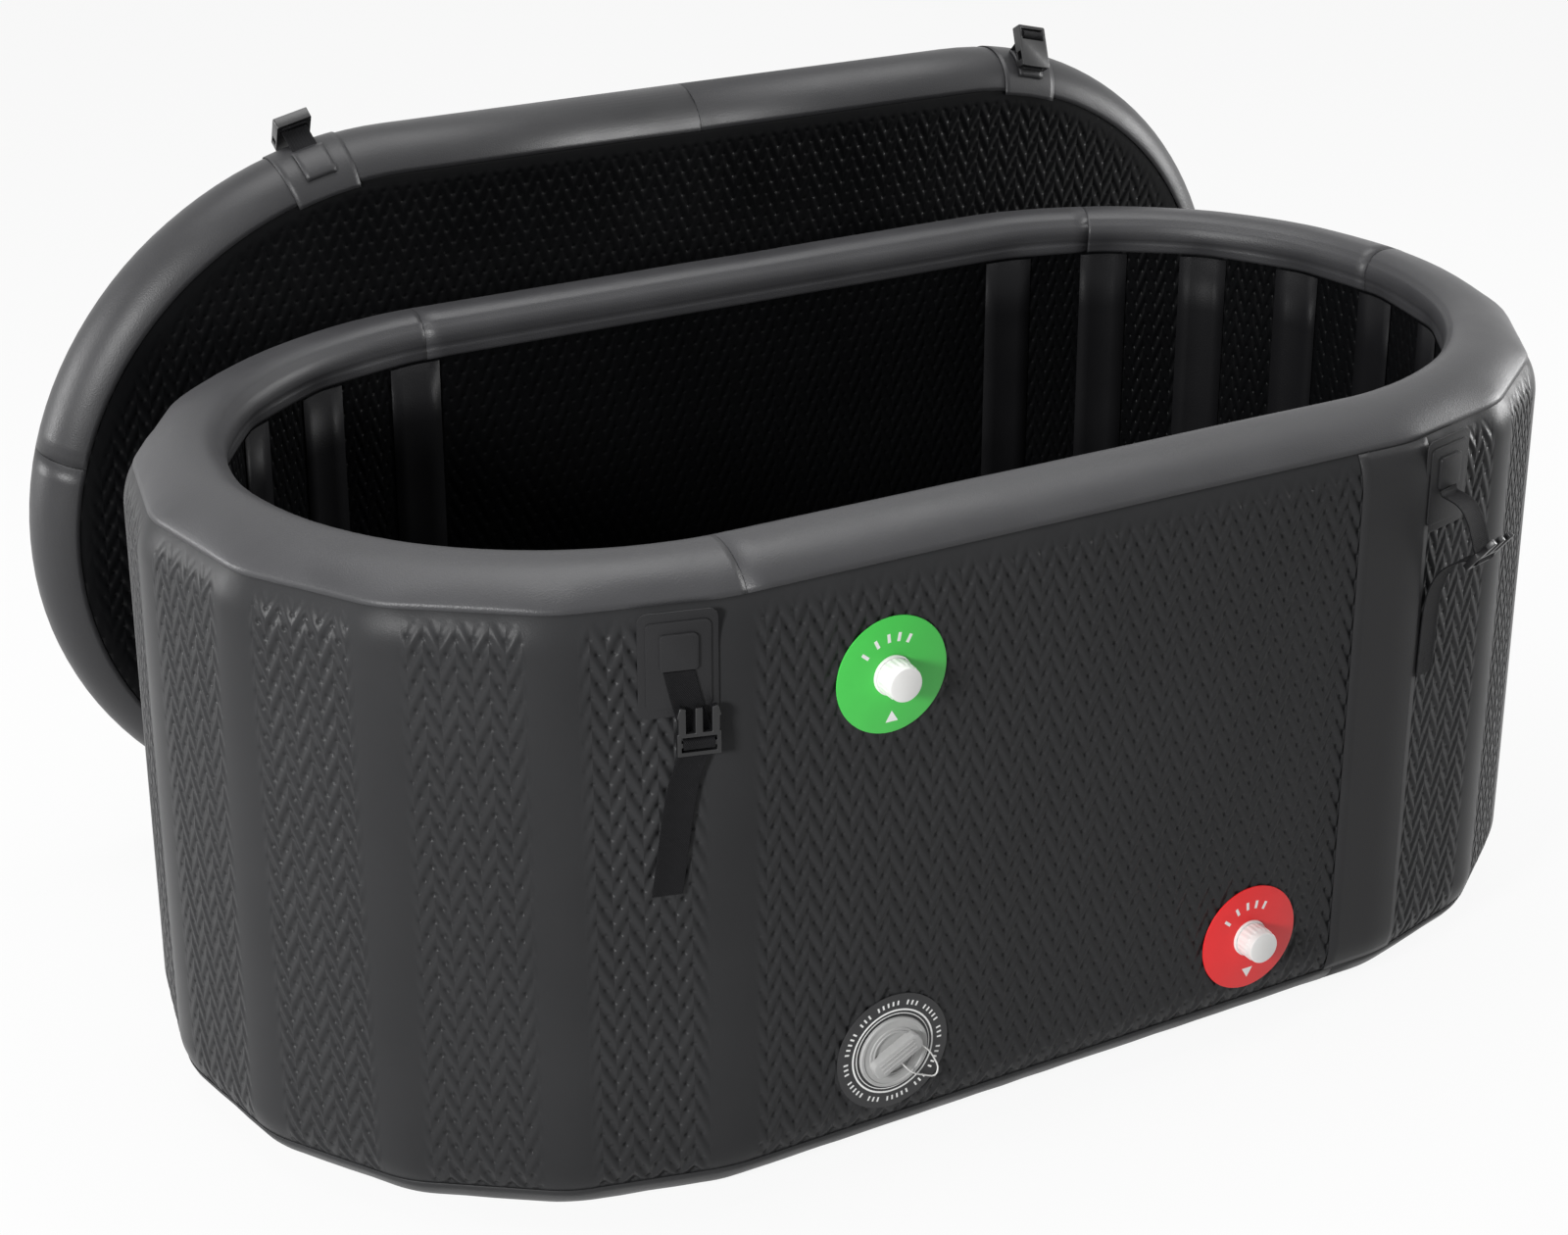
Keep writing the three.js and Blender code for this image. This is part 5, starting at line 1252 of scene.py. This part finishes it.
# Inflation valves: a round glued patch with printed rings, a grey flanged barrel held by a back nut,
# a sprung poppet in its cup, and a cap with a wing to turn it by. The tub and the lid have one each.
VALVE_PATCH_RADIUS, VALVE_PATCH_TOP, BARREL_RADIUS = 0.056, 0.0013, 0.026
CUP_RADIUS, CUP_DEPTH, SEAT_HOLE, SEAT_UNDER = 0.022, 0.016, 0.0043, 0.019
CHAMBER_RADIUS, BARREL_DEPTH = 0.020, 0.034
WING_SIZE, WING_TOP = (0.051, 0.0176), 0.0129
WING_RIDGES, RIDGE_SIZE = (-0.0042, 0, 0.0042), (0.038, 0.0018)
RINGS = ((0.0365, 0.0373), (0.0395, 0.0412))
TICKS, TICK_SPAN, TICK_WIDTH = 60, (0.0452, 0.0044), 0.0017
SPRING_RADIUS, SPRING_WIRE, SPRING_TURNS, SPRING_STEPS = 0.0052, 0.0005, 3.5, 84
SPRING_LOW, SPRING_HIGH = -0.0152, -0.0078
POPPET_EDGE = SHEET_EDGE = 0.0005
grey_plastic = plastic("grey_plastic", (0.36, 0.36, 0.355, 1), (0.42, 0.42, 0.415, 1), 0.45)
steel, steel_tree, steel_surface = shader("spring_steel", 0.3)
steel_surface.inputs["Metallic"].default_value = 1
steel_cloud = mottled_colour(
    steel_tree, steel_surface, (0.50, 0.50, 0.51, 1), (0.60, 0.60, 0.60, 1), 300,
)[1]
uneven_gloss(steel_tree, steel_surface, steel_cloud, 0.22, 0.38)
LID_VALVE = (-0.300, -0.190, -LID_EDGE)
lid_valve_seat = LID_FRAME @ Matrix.Translation(LID_VALVE) @ Matrix.Rotation(math.pi / 2, 4, "X")
for prefix, seat, turn, body in (
    ("", wall_seat("valve_patch"), WING_TURN, "tub"), ("lid_", lid_valve_seat, math.pi / 2, "lid"),
):
    place = seat @ ON_FACET
    mesh = bmesh.new()
    turned(mesh, ring_profile(BARREL_RADIUS + CLEAR, VALVE_PATCH_RADIUS, CLEAR, VALVE_PATCH_TOP, SHEET_EDGE))
    valve = f"{prefix}valve"
    finished(f"{valve}_patch_sheet", mesh, place, black_rubber, body, f"{valve}_patch")
    mesh = bmesh.new()
    for inside, outside in RINGS:
        turned(mesh, ring_profile(inside, outside, VALVE_PATCH_TOP - PRINT, VALVE_PATCH_TOP + PRINT, PRINT))
    for number in range(TICKS):
        if number % 10 not in (3, 9):
            printed(mesh, bar(*TICK_SPAN, number * 360 / TICKS, TICK_WIDTH), VALVE_PATCH_TOP)
    finished(f"{valve}_marks", mesh, place, white_print, body)
    mesh = bmesh.new()
    turned(mesh, [
        (SEAT_HOLE, -SEAT_UNDER), (SEAT_HOLE, -CUP_DEPTH), (CUP_RADIUS, -CUP_DEPTH), (CUP_RADIUS, FLANGE_TOP),
        (CUP_RADIUS + 0.0022, FLANGE_TOP), (CUP_RADIUS + 0.0030, FLANGE_TOP - 0.0007),
        (FLANGE_RADIUS - 0.0040, FLANGE_TOP - 0.0007), (FLANGE_RADIUS - 0.0032, FLANGE_TOP),
        (FLANGE_RADIUS - 0.0009, FLANGE_TOP), (FLANGE_RADIUS, FLANGE_TOP - 0.0009),
        (FLANGE_RADIUS, VALVE_PATCH_TOP + CLEAR), (BARREL_RADIUS, VALVE_PATCH_TOP + CLEAR),
        (BARREL_RADIUS, -BARREL_DEPTH), (CHAMBER_RADIUS, -BARREL_DEPTH), (CHAMBER_RADIUS, -SEAT_UNDER),
    ])
    finished(f"{valve}_barrel", mesh, place, grey_plastic, body, f"{valve}_body")
    mesh = bmesh.new()
    stopper = CUP_RADIUS - CLEAR
    turned(mesh, [
        (0, -0.002), (stopper - 0.001, -0.002), (stopper, -0.001), (stopper, FLANGE_TOP),
        (stopper - 0.0005, FLANGE_TOP + 0.0005), (stopper - 0.0017, FLANGE_TOP + 0.0005),
        (stopper - 0.0028, FLANGE_TOP - 0.0012), (0, FLANGE_TOP - 0.0012),
    ])
    plate(mesh, WING_SIZE, WING_SIZE[1] / 3, FLANGE_TOP - 0.0014, WING_TOP - 0.0005, edge=0.0014)
    for ridge in WING_RIDGES:
        plate(mesh, RIDGE_SIZE, 0.0007, WING_TOP - 0.0007, WING_TOP, (0, ridge), 0.0003)
    wing_place, cap = place @ Matrix.Rotation(turn, 4, "Z"), f"{valve}_cap"
    finished(f"{cap}_moulding", mesh, wing_place, grey_plastic, cap, cap)
    softened(f"{valve}_back_nut", grey_plastic, body, NUT_EDGE)
    softened(f"{valve}_poppet", grey_plastic, f"{valve}_poppet", POPPET_EDGE)
    spring_path = []
    for number in range(SPRING_STEPS + 1):
        angle = 2 * math.pi * SPRING_TURNS * number / SPRING_STEPS
        height = SPRING_LOW + (SPRING_HIGH - SPRING_LOW) * number / SPRING_STEPS
        wire = Vector((SPRING_RADIUS * math.cos(angle), SPRING_RADIUS * math.sin(angle), height))
        spring_path.append(place @ wire)
    spring = cord_tube(f"{valve}_spring_wire", spring_path, SPRING_WIRE, steel)
    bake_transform(spring)
    labelled(spring, f"{valve}_spring")
